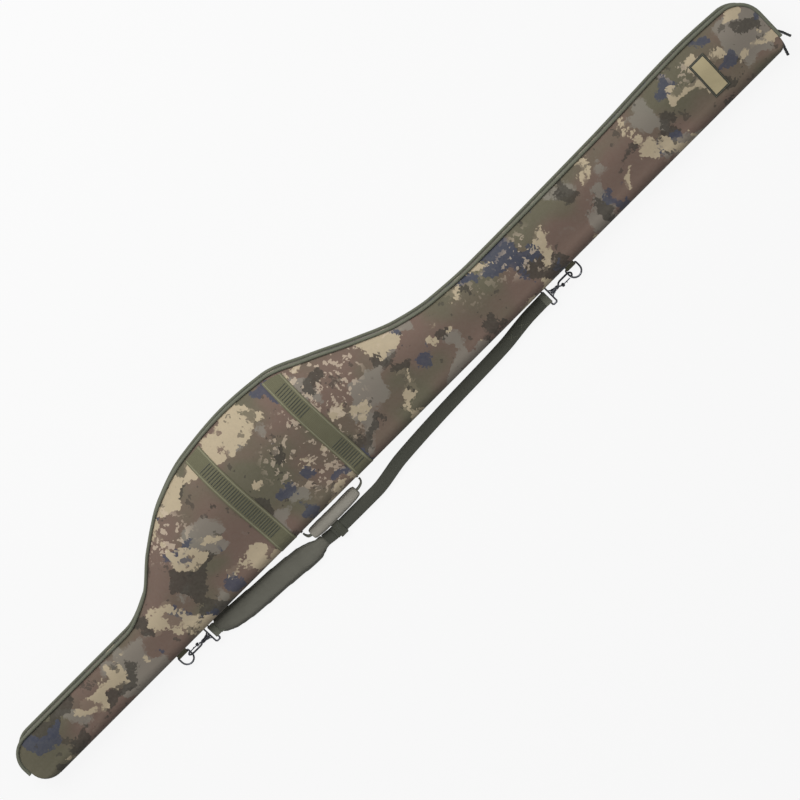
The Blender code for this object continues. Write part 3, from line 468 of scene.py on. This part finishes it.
def finish_mesh(bm):
    bmesh.ops.remove_doubles(bm, verts=bm.verts, dist=2e-6)
    bmesh.ops.dissolve_degenerate(bm, edges=bm.edges, dist=1e-6)
    bmesh.ops.recalc_face_normals(bm, faces=bm.faces)
    mesh = bpy.data.meshes.new("piece")
    bm.to_mesh(mesh)
    bm.free()
    mesh.shade_smooth()
    mesh.set_sharp_from_angle(angle=radians(50))
    return mesh


def wall_mesh(outer, inner):
    """Closed wall between two grids of the same layout."""
    bm = bmesh.new()
    grids = [[[bm.verts.new(p) for p in row] for row in grid] for grid in (outer, inner)]
    rows, cols = len(outer), len(outer[0])
    for grid in grids:
        for r in range(rows - 1):
            for c in range(cols - 1):
                bm.faces.new((grid[r][c], grid[r + 1][c], grid[r + 1][c + 1], grid[r][c + 1]))
    border = [(r, 0) for r in range(rows)] + [(rows - 1, c) for c in range(1, cols)]
    border += [(r, cols - 1) for r in range(rows - 2, -1, -1)] + [(0, c) for c in range(cols - 2, 0, -1)]
    for (r0, c0), (r1, c1) in zip(border, border[1:] + border[:1]):
        bm.faces.new((grids[0][r0][c0], grids[0][r1][c1], grids[1][r1][c1], grids[1][r0][c0]))
    return finish_mesh(bm)


def sweep_mesh(frames, profile, cyclic=False, scale=None):
    """Loft of one profile along frames (point, sideways, up), with closed ends."""
    bm = bmesh.new()
    rings = []
    for i, (point, aside, up) in enumerate(frames):
        k = scale[i] if scale else (1.0, 1.0)
        rings.append([bm.verts.new(point + aside * (a * k[0]) + up * (b * k[1])) for a, b in profile])
    count = len(profile)
    for left, right in list(zip(rings, rings[1:])) + ([(rings[-1], rings[0])] if cyclic else []):
        for i in range(count):
            j = (i + 1) % count
            bm.faces.new((left[i], left[j], right[j], right[i]))
    if not cyclic:
        bm.faces.new(rings[0])
        bm.faces.new(rings[-1])
    return finish_mesh(bm)


def plan_frames(points, height=None):
    """Frames along a route: sideways is to its left, up is +Z."""
    frames = []
    for i, p in enumerate(points):
        p = Vector((p[0], p[1], height if height is not None else p[2]))
        before, after = Vector(points[max(i - 1, 0)][:2]), Vector(points[min(i + 1, len(points) - 1)][:2])
        along = (after - before).normalized()
        frames.append((p, Vector((-along.y, along.x, 0.0)), Vector((0, 0, 1))))
    return frames


def circle(radius, sides, centre=(0.0, 0.0)):
    return [(centre[0] + radius * cos(2 * pi * i / sides), centre[1] + radius * sin(2 * pi * i / sides))
            for i in range(sides)]


def soft_rectangle(low, high, corner):
    """Rectangle with its corners rounded off."""
    points = []
    for cx, cy, start in ((high[0] - corner, high[1] - corner, 0), (low[0] + corner, high[1] - corner, 90),
                          (low[0] + corner, low[1] + corner, 180), (high[0] - corner, low[1] + corner, 270)):
        for a in (0, 45, 90):
            points.append((cx + corner * cos(radians(start + a)), cy + corner * sin(radians(start + a))))
    return points


def rim_route(spacing=8 * MM):
    """Plan of the edge round the butt end, the zip side and the tip end."""
    stations = plan_stations(0.0, spacing)
    margin = 0.5 * MM
    first, last = stations[0], stations[-1]
    route = []
    ends = 8
    low = first[1] + END_ROUND + margin
    route += [(first[0], low + (first[2] - low) * i / ends) for i in range(ends)]
    route += [(x, high) for x, _, high in stations]
    low = last[1] + END_ROUND + margin
    route += [(last[0], last[2] + (low - last[2]) * i / ends) for i in range(1, ends + 1)]
    return route


# What repeats along a line

def repeat_tree():
    """Node tree that lays small rounded bars along a line at an even pitch."""
    tree = bpy.data.node_groups.new("bars_along_a_line", "GeometryNodeTree")
    face = tree.interface
    face.new_socket("Line", in_out="INPUT", socket_type="NodeSocketGeometry")
    for name in ("Pitch", "Bar Length", "Bar Width", "Bar Height"):
        face.new_socket(name, in_out="INPUT", socket_type="NodeSocketFloat")
    face.new_socket("Bar Material", in_out="INPUT", socket_type="NodeSocketMaterial")
    face.new_socket("Bars", in_out="OUTPUT", socket_type="NodeSocketGeometry")
    add, link = tree.nodes.new, tree.links.new
    given, result = add("NodeGroupInput"), add("NodeGroupOutput")
    curve, points = add("GeometryNodeMeshToCurve"), add("GeometryNodeCurveToPoints")
    points.mode = "LENGTH"
    turn = add("FunctionNodeAlignRotationToVector")
    turn.axis = "X"
    ball = add("GeometryNodeMeshIcoSphere")
    ball.inputs["Radius"].default_value = 0.5
    ball.inputs["Subdivisions"].default_value = 2
    size = add("ShaderNodeCombineXYZ")
    lay, real = add("GeometryNodeInstanceOnPoints"), add("GeometryNodeRealizeInstances")
    paint = add("GeometryNodeSetMaterial")
    link(given.outputs["Line"], curve.inputs["Mesh"])
    link(curve.outputs["Curve"], points.inputs["Curve"])
    link(given.outputs["Pitch"], points.inputs["Length"])
    link(points.outputs["Tangent"], turn.inputs["Vector"])
    for axis, name in zip("XYZ", ("Bar Length", "Bar Width", "Bar Height")):
        link(given.outputs[name], size.inputs[axis])
    link(points.outputs["Points"], lay.inputs["Points"])
    link(ball.outputs["Mesh"], lay.inputs["Instance"])
    link(turn.outputs["Rotation"], lay.inputs["Rotation"])
    link(size.outputs["Vector"], lay.inputs["Scale"])
    link(lay.outputs["Instances"], real.inputs["Geometry"])
    link(real.outputs["Geometry"], paint.inputs["Geometry"])
    link(given.outputs["Bar Material"], paint.inputs["Material"])
    link(paint.outputs["Geometry"], result.inputs["Bars"])
    return tree


BARS = repeat_tree()


def bars_along(name, lines, pitch, size, material, body):
    """Bars such as stitches or zip teeth along one or more lines, as one plain mesh."""
    mesh = bpy.data.meshes.new(name + "_line")
    points, edges = [], []
    for line in lines:
        start = len(points)
        points += [tuple(p) for p in line]
        edges += [(start + i, start + i + 1) for i in range(len(line) - 1)]
    mesh.from_pydata(points, edges, [])
    guide = bpy.data.objects.new(name + "_line", mesh)
    bpy.context.scene.collection.objects.link(guide)
    modifier = guide.modifiers.new("bars", "NODES")
    modifier.node_group = BARS
    values = {"Pitch": pitch, "Bar Length": size[0], "Bar Width": size[1], "Bar Height": size[2],
              "Bar Material": material}
    for item in BARS.interface.items_tree:
        if item.name in values:
            modifier[item.identifier] = values[item.name]
    result = evaluated(guide)
    bpy.data.objects.remove(guide, do_unlink=True)
    result.shade_smooth()
    return new_piece(name, result, material, body)


# Padding

def stuffed(mesh, voxel, cap, floor=None):
    """The closed mesh blown up as sewn cloth by a short simulation, no point going further than cap."""
    scene = bpy.context.scene
    obj = bpy.data.objects.new("stuffing", mesh)
    scene.collection.objects.link(obj)
    remesh = obj.modifiers.new("even", "REMESH")
    remesh.mode, remesh.voxel_size = "VOXEL", voxel
    even = evaluated(obj)
    obj.modifiers.clear()
    obj.data = even
    start = [v.co.copy() for v in even.vertices]
    sewn = obj.modifiers.new("cloth", "CLOTH")
    sewn.settings.use_pressure = True
    sewn.settings.uniform_pressure_force = PRESSURE
    sewn.settings.effector_weights.gravity = 0.0
    sewn.point_cache.frame_start, sewn.point_cache.frame_end = 1, CLOTH_FRAMES
    for step in range(1, CLOTH_FRAMES + 1):
        scene.frame_set(step)
    blown = evaluated(obj)
    obj.modifiers.clear()
    scene.frame_set(1)
    for vertex, origin in zip(blown.vertices, start):
        move = vertex.co - origin
        if move.length > cap:
            vertex.co = origin + move * (cap / move.length)
        if floor is not None:
            vertex.co.z = max(vertex.co.z, floor)
    obj.data = blown
    finer = obj.modifiers.new("finer", "SUBSURF")
    finer.levels = 1
    result = evaluated(obj)
    bpy.data.objects.remove(obj, do_unlink=True)
    result.shade_smooth()
    return result


def evaluated(obj):
    """A plain copy of an object's mesh with its modifiers applied."""
    bpy.context.view_layer.update()
    return bpy.data.meshes.new_from_object(obj.evaluated_get(bpy.context.evaluated_depsgraph_get()))


def laid_on(mesh, line, towards, lift):
    """Points of a line brought on to the outside of a mesh from far off along one direction."""
    tree = BVHTree.FromPolygons([v.co for v in mesh.vertices], [tuple(f.vertices) for f in mesh.polygons])
    towards = Vector(towards)
    hits = [tree.ray_cast(Vector(point) - towards, towards)[0] for point in line]
    return [hit - towards * lift for hit in hits if hit]


# The padded body

def covers():
    """Padded cloth outside and lining inside, for each half; the foam between them stays as in the solids.
    """
    replaced = {"back": ["back_panel", "back_spine"], "front": ["front_panel"]}
    for half, body, material in (("back", "back_half", CAMO_BACK), ("front", "front_half", CAMO_FRONT)):
        outer = half_rows(0.0, half, False, 1.0, 8 * MM)
        inner = half_rows(COVER_T, half, False, 1.0, 8 * MM)
        cover = new_piece(half + "_cover", wall_mesh(outer, inner), material, body,
                          replaced[half])
        skin = half_rows(LINING_DEPTH, half, True, 0.0, 16 * MM)
        back = half_rows(LINING_DEPTH - 0.9 * MM, half, True, 0.0, 16 * MM)
        new_piece(half + "_lining_cloth", wall_mesh(back, skin), LINING, body, [half + "_lining"])


def edge_trim():
    """Gusset strip, zip tape and coil, piping and the stitching beside it, for each half."""
    route = rim_route()
    frames = plan_frames(route, HINGE_Z)
    for half, body, side in (("back", "back_half", -1), ("front", "front_half", 1)):
        low, high = sorted(side * h for h in GUSSET_SPAN)
        strip = soft_rectangle((-1.4 * MM, low), (0.2 * MM, high), 0.5 * MM)
        new_piece(half + "_gusset_cloth", sweep_mesh(frames, strip), CAMO_SIDE, body,
                  [half + "_gusset"])
        near, far = sorted((side * RIM_GAP * 2, side * (GUSSET_SPAN[0] + 0.6 * MM)))
        tape = soft_rectangle((-1.2 * MM, near), (-0.35 * MM, far), 0.2 * MM)
        new_piece(half + "_tape", sweep_mesh(frames, tape), TAPE, body, [half + "_zip_tape"])
        near, far = sorted((side * RIM_GAP * 0.4, side * RIM_GAP * 2.2))
        bound = soft_rectangle((-LINING_DEPTH - 0.6 * MM, near), (-1.25 * MM, far), 0.1 * MM)
        new_piece(half + "_rim_binding", sweep_mesh(frames, bound), BINDING, body)
        bead = circle(BEAD_R, 14, (BEAD_OUT, side * (HALF_GUSSET + BEAD_UP)))
        # Dark thin tube in the crease between panel, piping and gusset: painted shade of the seam groove.
        seam_shade_tube = circle(1.1 * MM, 8, (BEAD_OUT - 3.0 * MM, side * (HALF_GUSSET - 0.8 * MM)))
        new_piece(half + "_piping_bead", sweep_mesh(frames, bead), PIPING, body,
                  [half + "_piping"])
        new_piece(half + "_piping_flange", sweep_mesh(frames, seam_shade_tube), BINDING, body)
        teeth = [p + out * (0.5 * MM) + up * (side * 1.3 * MM) for p, out, up in frames]
        bars_along(half + "_zip_teeth", [teeth], 1.7 * MM, (1.2 * MM, 1.6 * MM, 2.4 * MM),
                   COIL, body)
        for name, height in (("low", GUSSET_SPAN[0] + 2 * MM), ("high", GUSSET_SPAN[1] - 2 * MM)):
            line = [p + out * (0.25 * MM) + up * (side * height) for p, out, up in frames]
            bars_along(f"{half}_gusset_stitch_{name}", [line], 4.5 * MM, (3.2 * MM, 0.5 * MM, 0.5 * MM),
                       DARK_THREAD, body)


def spine_strips():
    """Cloth strips along the spine at the hinge line: one outside, one inside."""
    reach = 3.0 * MM
    for name, offset, material, slot in (("spine_fold", -0.15 * MM, CAMO_SIDE, "camouflage_cloth"),
                                         ("spine_lining", LINING_DEPTH - 0.5 * MM, LINING, "lining")):
        thick = 0.35 * MM
        rows = [[], []]
        ends = (BUTT_X + BUTT_SPINE_R, TIP_X - TIP_SPINE_R)
        for i in range(121):
            x = ends[0] + (ends[1] - ends[0]) * i / 120
            for grid, extra in zip(rows, (0.0, thick)):
                y = SPINE_Y + offset + extra
                grid.append([Vector((x, y, HINGE_Z + reach * (j / 6 - 1))) for j in range(13)])
        piece = new_piece(name, wall_mesh(*rows), material, None)
        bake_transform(piece)


def front_point(x, y, lift):
    """Point of the front cover's outer face, or of the spine round below it."""
    low, high = SPINE_Y, zip_edge(x)
    across = END_ROUND + (SPINE_ROUND - END_ROUND) * end_ease(x)
    s = max(0.0, min(1.0, (y - low - across) / (high - low - across)))
    crown = CROWN_RATIO * (high - low - CROWN_BASE) * end_ease(x)
    edge = min(high - y, x - BUTT_X, TIP_X - x)
    z = FRONT_SEAM_Z + crown * sin(pi * s ** CROWN_SKEW) + puff(x, y, edge) * smooth((y - low) / (40 * MM))
    return Vector((x, y, z + lift))


def spine_point(x, angle, lift, rise):
    """Point of the spine round at an angle from the hinge line, lifted off its face."""
    y = SPINE_Y - lift + (SPINE_ROUND + lift) * (1 - cos(angle))
    return Vector((x, y, HINGE_Z + rise * sin(angle)))


def band_line(x, lift, reach):
    """Points across the front at x, from the hinge line over to the zip side."""
    points = []
    turns = 14
    for i in range(turns):
        a = BAND_START + (pi / 2 - BAND_START) * i / turns
        points.append(spine_point(x, a, lift, FRONT_SEAM_Z - HINGE_Z + lift))
    start, stop = SPINE_Y + SPINE_ROUND, zip_edge(x) - reach
    steps = 44
    points += [front_point(x, start + (stop - start) * k / steps, lift) for k in range(steps + 1)]
    return points


def back_band_line(x, lift):
    points = []
    turns = 14
    for i in range(turns):
        a = BAND_START + (radians(60) - BAND_START) * i / (turns - 1)
        points.append(spine_point(x, a, lift, -HINGE_Z - lift))
    return points


def ridge(share):
    """1 on a thin line near the edge of a band, share being 0 at its middle and 1 at its edge."""
    return smooth(1 - abs(share - SELVEDGE_AT) / SELVEDGE_SHARE)


def mark_edges(mesh, centre, width):
    """Attribute that is 1 on the selvedges of a band that runs along Y."""
    edge = mesh.attributes.new("edge", "FLOAT", "POINT")
    edge.data.foreach_set("value", [ridge(abs(v.co.x - centre) / (width / 2)) for v in mesh.vertices])


def bands():
    across = 40
    for end, centre in BAND_X.items():
        for half, body in (("front", "front_half"), ("back", "back_half")):
            rows = [[], []]
            for i in range(across + 1):
                t = i / across
                x = centre + BAND_W * (t - 0.5)
                selvedge = 0.35 * MM * ridge(abs(2 * t - 1))
                for grid, lift in zip(rows, (BAND_OFF + BAND_T + selvedge, BAND_OFF)):
                    grid.append(band_line(x, lift, 4 * MM) if half == "front" else back_band_line(x, lift))
            mesh = wall_mesh(*rows)
            mark_edges(mesh, centre, BAND_W)
            name = f"{half}_band_{end}"
            new_piece(name + "_webbing", mesh, BANDS, body, [name])
        lines = []
        for x in (centre - BAND_W * 0.40, centre + BAND_W * 0.40):
            lines.append(band_line(x, BAND_OFF + BAND_T + 0.45 * MM, 5 * MM)[3:])
        bars_along(f"front_band_{end}_stitch", lines, 4.5 * MM, (3.3 * MM, 0.7 * MM, 0.6 * MM),
                   THREAD, "front_half")
        bar_tacks(end, centre)


def bar_tacks(end, centre):
    """Ladders of tight sewn bars along the middle of the webbing."""
    lines = []
    lift = BAND_OFF + BAND_T + 0.2 * MM
    reach = zip_edge(centre) - SPINE_Y
    for low, high in LADDERS[end]:
        for k in range(int((high - low) * reach / RUNG_PITCH) + 1):
            y = SPINE_Y + low * reach + k * RUNG_PITCH
            xs = [centre + BAND_W * RUNG_SHARE * (t / 8 - 0.5) for t in range(9)]
            lines.append([front_point(x, y, lift) for x in xs])
    bars_along(f"front_band_{end}_tacks", lines, 1.7 * MM, (2.2 * MM, 2.4 * MM, 0.9 * MM), DARK_THREAD,
               "front_half")


def label():
    """Bare woven patch with a raised border, sewn round its edge."""
    def grid(size, lift, cells):
        rows = []
        for i in range(cells[0] + 1):
            x = LABEL_X + size[0] * (i / cells[0] - 0.5)
            ys = [LABEL_Y + size[1] * (j / cells[1] - 0.5) for j in range(cells[1] + 1)]
            rows.append([front_point(x, y, lift) for y in ys])
        return rows

    cells = (12, 24)
    border = wall_mesh(grid(LABEL_SIZE, 1.3 * MM, cells), grid(LABEL_SIZE, 0.4 * MM, cells))
    new_piece("label_border", border, LABEL_EDGE, "front_half", ["label_patch"])
    inner = (LABEL_SIZE[0] - 9 * MM, LABEL_SIZE[1] - 9 * MM)
    centre = wall_mesh(grid(inner, 1.9 * MM, (10, 22)), grid(inner, 1.35 * MM, (10, 22)))
    new_piece("label_centre", centre, LABEL, "front_half")
    half_x, half_y = LABEL_SIZE[0] / 2 - 1.8 * MM, LABEL_SIZE[1] / 2 - 1.8 * MM
    lines = []
    corners = [(-1, -1), (1, -1), (1, 1), (-1, 1)]
    for a, b in zip(corners, corners[1:] + corners[:1]):
        line = []
        for t in (i / 12 for i in range(13)):
            x = LABEL_X + half_x * (a[0] + (b[0] - a[0]) * t)
            y = LABEL_Y + half_y * (a[1] + (b[1] - a[1]) * t)
            line.append(front_point(x, y, 1.4 * MM))
        lines.append(line)
    bars_along("label_stitch", lines, 3.2 * MM, (2.2 * MM, 0.6 * MM, 0.5 * MM), THREAD,
               "front_half")


# Strap and handle

def strap_point(x, name):
    t = smooth((x * MM - RISE_X[0]) / (RISE_X[1] - RISE_X[0]))
    sag = 0.5 * MM * sin(x / 17.0) * (1 - t)
    z = STRAP_Z[name] + STRAP_RISE[name] * t + max(sag, 0.0) * 0.4
    return (x * MM, SPINE_Y - spline_at(STRAP_ROUTE, x) * MM, z)


def straps():
    """Two layers of webbing, with soft selvedges darkened as painted shade, and the stitching that joins
    them.
    """
    for name in ("strap_lower", "strap_upper"):
        start = STRAP_START[name]
        xs = [start + (STRAP_END - start) * i / 160 for i in range(161)]
        frames = plan_frames([strap_point(x, name) for x in xs])
        half = STRAP_W / 2
        profile = soft_rectangle((-half, 0.0), (half, STRAP_T), 0.6 * MM)
        mesh = sweep_mesh(frames, profile)
        # Edge attribute: the strap's selvedges are darkened as painted shade of the gap between its two
        # layers.
        edge = mesh.attributes.new("edge", "FLOAT", "POINT")
        centres = [spline_at(STRAP_ROUTE, v.co.x / MM) * MM for v in mesh.vertices]
        edge.data.foreach_set("value", [smooth((abs(SPINE_Y - c - v.co.y) / half - 0.78) / 0.12)
                                        for v, c in zip(mesh.vertices, centres)])
        new_piece(name + "_webbing", mesh, STRAP, "shoulder_strap", [name])
    lines = []
    for start in (232, 262):
        for side in (-1, 1):
            line = []
            for i in range(13):
                x = start + 24 * i / 12
                p = Vector(strap_point(x, "strap_upper"))
                line.append(p + Vector((0, side * STRAP_W * 0.36 * (1 - 2 * i / 12), STRAP_T + 0.1 * MM)))
            lines.append(line)
    bars_along("strap_box_stitch", lines, 3.2 * MM, (2.4 * MM, 0.6 * MM, 0.5 * MM), THREAD,
               "shoulder_strap")


def pad_station(t):
    """Place, width and height of the shoulder pad at a share of its length."""
    start, stop = PAD_ROUTE[0][0], PAD_ROUTE[-1][0]
    x = start + (stop - start) * t
    out = spline_at([(a, b) for a, b, _ in PAD_ROUTE], x)
    wide = spline_at([(a, c) for a, _, c in PAD_ROUTE], x)
    tall = PAD_HEIGHT * (1.0 - 0.42 * smooth((t - 0.86) / 0.14))
    return x * MM, SPINE_Y - out * MM, wide * MM, tall


def sew_channel(mesh):
    """Presses a sewn channel into the top of the pad along each of its long edges."""
    start, stop = PAD_ROUTE[0][0], PAD_ROUTE[-1][0]
    for vertex in mesh.vertices:
        _, y, wide, tall = pad_station((vertex.co.x / MM - start) / (stop - start))
        away = abs(abs(vertex.co.y - y) - CHANNEL_AT * wide / 2)
        if vertex.co.z > PAD_FLOOR + 0.5 * tall:
            vertex.co.z -= CHANNEL_DEEP * smooth(1 - away / CHANNEL_W)


def shoulder_pad():
    """Crowned pad between a flat underside and a bound, stitched edge."""
    profile = []
    for i in range(25):
        a = pi * i / 24
        profile.append((-cos(a) * (1 - 0.05 * sin(a)), 0.30 + 0.70 * sin(a) ** 0.55))
    bm = bmesh.new()
    rows = []
    steps = 90
    for i in range(steps + 1):
        x, y, wide, tall = pad_station(i / steps)
        ring = []
        for a, b in profile:
            soft = 0.6 * MM * noise.noise(Vector((x * 40, a * 1.5, 2.0))) * (1 - a * a)
            ring.append(bm.verts.new((x, y + a * PAD_START * wide / 2, PAD_FLOOR + tall * b + soft)))
        ring += [bm.verts.new((x, y + a * PAD_START * wide / 2, PAD_FLOOR)) for a in (0.9, 0.3, -0.3, -0.9)]
        rows.append(ring)
    for left, right in zip(rows, rows[1:]):
        for i in range(len(left)):
            j = (i + 1) % len(left)
            bm.faces.new((left[i], right[i], right[j], left[j]))
    bm.faces.new(rows[0])
    bm.faces.new(rows[-1])
    mesh = stuffed(finish_mesh(bm), 4 * MM, 1.8 * MM, PAD_FLOOR)
    sew_channel(mesh)
    pad = new_piece("shoulder_pad_cover", mesh, PAD, "shoulder_strap", ["shoulder_pad"])
    x, y = PAD_ROUTE[0][0] * MM, SPINE_Y - PAD_ROUTE[0][1] * MM
    tab = plan_frames([(x - 0.5 * MM, y), (x + 9 * MM, y)], SWING_Z)
    strip = soft_rectangle((-STRAP_W / 2, -2.4 * MM), (STRAP_W / 2, 0.6 * MM), 0.5 * MM)
    new_piece("pad_tab_webbing", sweep_mesh(tab, strip), STRAP, "shoulder_strap")
    bead = circle(1.9 * MM, 10)
    route = []
    for side in (1, -1):
        line = []
        for i in range(steps + 1):
            x, y, wide, tall = pad_station(i / steps if side > 0 else 1 - i / steps)
            line.append((x, y, PAD_FLOOR + tall * 0.36))
        route += laid_on(mesh, line, (0, -side, 0), -0.8 * MM)
    binding = sweep_mesh(plan_frames(route), bead)
    new_piece("shoulder_pad_binding", binding, BINDING, "shoulder_strap")
    lines = []
    for side in (1, -1):
        line = []
        for i in range(3, steps - 2):
            x, y, wide, tall = pad_station(i / steps)
            line.append((x, y + side * CHANNEL_AT * wide / 2, PAD_FLOOR))
        lines.append(laid_on(mesh, line, (0, 0, -1), 0.15 * MM))
    bars_along("shoulder_pad_stitch", lines, 4.2 * MM, (3.0 * MM, 0.7 * MM, 0.6 * MM), DARK_THREAD,
               "shoulder_strap")


def handle_route():
    left, right = HANDLE_X
    bend, bow = 9 * MM, 1 * MM
    out = HANDLE_Y
    return [(left, SWING_Y - 0.3 * MM), (left, SWING_Y - 4 * MM), (left + bend * 0.3, out + bend * 0.3),
            (left + bend, out), (GRIP_X[0] + 20 * MM, out - bow), ((left + right) / 2, out - bow * 1.6),
            (GRIP_X[1] - 20 * MM, out - bow), (right - bend * 1.6, out),
            (right - bend * 0.4, out + bend * 0.4), (right, SWING_Y - 4 * MM), (right, SWING_Y - 0.3 * MM)]


def smooth_route(points, parts):
    """Points along a Catmull-Rom curve through a route."""
    padded = [points[0]] + list(points) + [points[-1]]
    route = []
    for a, b, c, d in zip(padded, padded[1:], padded[2:], padded[3:]):
        for i in range(parts):
            t = i / parts
            spot = []
            for p, q, r, s in zip(a, b, c, d):
                square, cube = 2 * p - 5 * q + 4 * r - s, 3 * q - p - 3 * r + s
                spot.append(0.5 * (2 * q + (r - p) * t + square * t * t + cube * t ** 3))
            route.append(tuple(spot))
    return route + [points[-1]]


def handle():
    """On-edge webbing with a padded, seamed grip round its middle."""
    parts = 6
    route = smooth_route(handle_route(), parts)
    frames = plan_frames(route, SWING_Z)
    neck = 0.34
    scale = []
    for i in range(len(frames)):
        near = min(i, len(frames) - 1 - i) / parts
        scale.append((1.0, neck + (1 - neck) * smooth((near - 0.9) / 1.1)))
    strip = soft_rectangle((-1.7 * MM, -6.5 * MM), (1.7 * MM, 6.5 * MM), 0.7 * MM)
    new_piece("handle_strap", sweep_mesh(frames, strip, scale=scale), STRAP, "handle",
              ["handle_webbing"])
    knots = [(x, y) for x, y in handle_route()[3:8]]
    stops = 60
    points, plump = [], []
    for i in range(stops + 1):
        t = i / stops
        x = GRIP_X[0] + (GRIP_X[1] - GRIP_X[0]) * t
        points.append((x, spline_at(knots, x)))
        k = 1.0 - 0.24 * abs(2 * t - 1) ** 7 + 0.012 * sin(t * 37)
        plump.append((k * GRIP_START, k))
    oval = []
    for i in range(28):
        a = 2 * pi * i / 28
        across = abs(cos(a)) ** 0.8 * (1 if cos(a) >= 0 else -1)
        oval.append((GRIP_SIZE[0] / 2 * across, GRIP_SIZE[1] / 2 * sin(a)))
    frames = plan_frames(points, SWING_Z)
    mesh = stuffed(sweep_mesh(frames, oval, scale=plump), 2.5 * MM, 1.2 * MM)
    grip = new_piece("handle_grip_pad", mesh, GRIP, "handle", ["handle_grip"])
    lines = []
    for side in (-1, 1):
        line = [p + aside * (side * GRIP_SIZE[0] * 0.36) for p, aside, _ in frames[4:-4]]
        lines.append(laid_on(mesh, line, (0, 0, -1), 0.1 * MM))
    bars_along("handle_grip_stitch", lines, 3.6 * MM, (2.6 * MM, 0.6 * MM, 0.6 * MM), DARK_THREAD,
               "handle")


def carried_nodes():
    """Finishes of the solids whose shape is already right."""
    hooks = ("d_ring", "hook_base", "hook_body", "gate", "gate_pin")
    paint = {METAL: [f"{part}_{end}" for part in hooks for end in ("butt", "tip")],
             ADJUSTER: ["strap_adjuster"],
             SLIDER: ["zip_slider_upper", "zip_slider_lower"],
             PULL: ["zip_pull_upper", "zip_pull_lower"],
             FOAM: [f"{half}_foam_{part}" for half in ("front", "back")
                    for part in ("spine", "butt", "belly", "tip", "wall")],
             BANDS: ["d_ring_tab_butt", "d_ring_tab_tip"],
             STRAP: ["handle_tab_butt", "handle_tab_tip", "strap_loop_butt", "strap_loop_tip",
                     "rod_strap_butt", "rod_strap_tip"]}
    for material, names in paint.items():
        for name in names:
            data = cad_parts[name].data
            data.materials.clear()
            data.materials.append(material)


# Floor, light and camera

def floor():
    size = 30.0
    mesh = bpy.data.meshes.new("floor")
    corners = [(-size, -size), (size, -size), (size, size), (-size, size)]
    mesh.from_pydata([(x, y, -MM) for x, y in corners], [], [(0, 1, 2, 3)])
    material = bpy.data.materials.new("pale_floor")
    material.use_nodes = True
    nodes, links = material.node_tree.nodes, material.node_tree.links
    nodes.clear()
    shade, glow, mix, path, out = (nodes.new(kind) for kind in (
        "ShaderNodeBsdfDiffuse", "ShaderNodeEmission", "ShaderNodeMixShader", "ShaderNodeLightPath",
        "ShaderNodeOutputMaterial"))
    shade.inputs["Color"].default_value = (0.45, 0.45, 0.45, 1)
    share = nodes.new("ShaderNodeMath")
    share.operation = "MULTIPLY"
    share.inputs[1].default_value = 0.9
    rays = nodes.new("ShaderNodeMath")
    rays.operation = "MAXIMUM"
    links.new(path.outputs["Is Camera Ray"], rays.inputs[0])
    links.new(path.outputs["Is Glossy Ray"], rays.inputs[1])
    links.new(rays.outputs[0], share.inputs[0])
    links.new(share.outputs[0], mix.inputs[0])
    links.new(shade.outputs[0], mix.inputs[1])
    links.new(glow.outputs[0], mix.inputs[2])
    links.new(mix.outputs[0], out.inputs["Surface"])
    mesh.materials.append(material)
    obj = bpy.data.objects.new("floor", mesh)
    bpy.context.scene.collection.objects.link(obj)


def lights():
    world = bpy.data.worlds.new("studio")
    bpy.context.scene.world = world
    world.use_nodes = True
    world.node_tree.nodes["Background"].inputs["Color"].default_value = (1, 1, 1, 1)
    world.node_tree.nodes["Background"].inputs["Strength"].default_value = 0.30
    lamps = (("key", (-0.3, 2.2, 2.3), 1.8, 100), ("fill", (1.6, 0.6, 2.6), 2.4, 14))
    for name, place, size, power in lamps:
        lamp = bpy.data.lights.new(name, "AREA")
        lamp.size = size
        lamp.energy = power
        obj = bpy.data.objects.new(name, lamp)
        obj.location = place
        obj.rotation_euler = (Vector(VIEW_CENTRE) - Vector(place)).to_track_quat("-Z", "Y").to_euler()
        bpy.context.scene.collection.objects.link(obj)


def camera():
    """Nearly overhead, rolled so that the spine runs from lower left to upper right."""
    data = bpy.data.cameras.new("camera")
    data.sensor_width = SENSOR
    data.lens = SENSOR * VIEW_DISTANCE / (IMAGE_PIXELS * MM_PER_PIXEL)
    back = Vector((sin(VIEW_TILT_X), sin(VIEW_TILT_Y), cos(VIEW_TILT_X) * cos(VIEW_TILT_Y))).normalized()
    right = Vector((cos(VIEW_ROLL), -sin(VIEW_ROLL), 0))
    right = (right - back * right.dot(back)).normalized()
    up = back.cross(right)
    place = Vector(VIEW_CENTRE) + back * VIEW_DISTANCE
    obj = bpy.data.objects.new("camera", data)
    obj.matrix_world = Matrix(((right.x, up.x, back.x, place.x), (right.y, up.y, back.y, place.y),
                               (right.z, up.z, back.z, place.z), (0, 0, 0, 1)))
    bpy.context.scene.collection.objects.link(obj)
    bpy.context.scene.camera = obj


bpy.context.scene.view_settings.view_transform = "Standard"
camera()
lights()
floor()
covers()
edge_trim()
spine_strips()
bands()
label()
straps()
shoulder_pad()
handle()
carried_nodes()
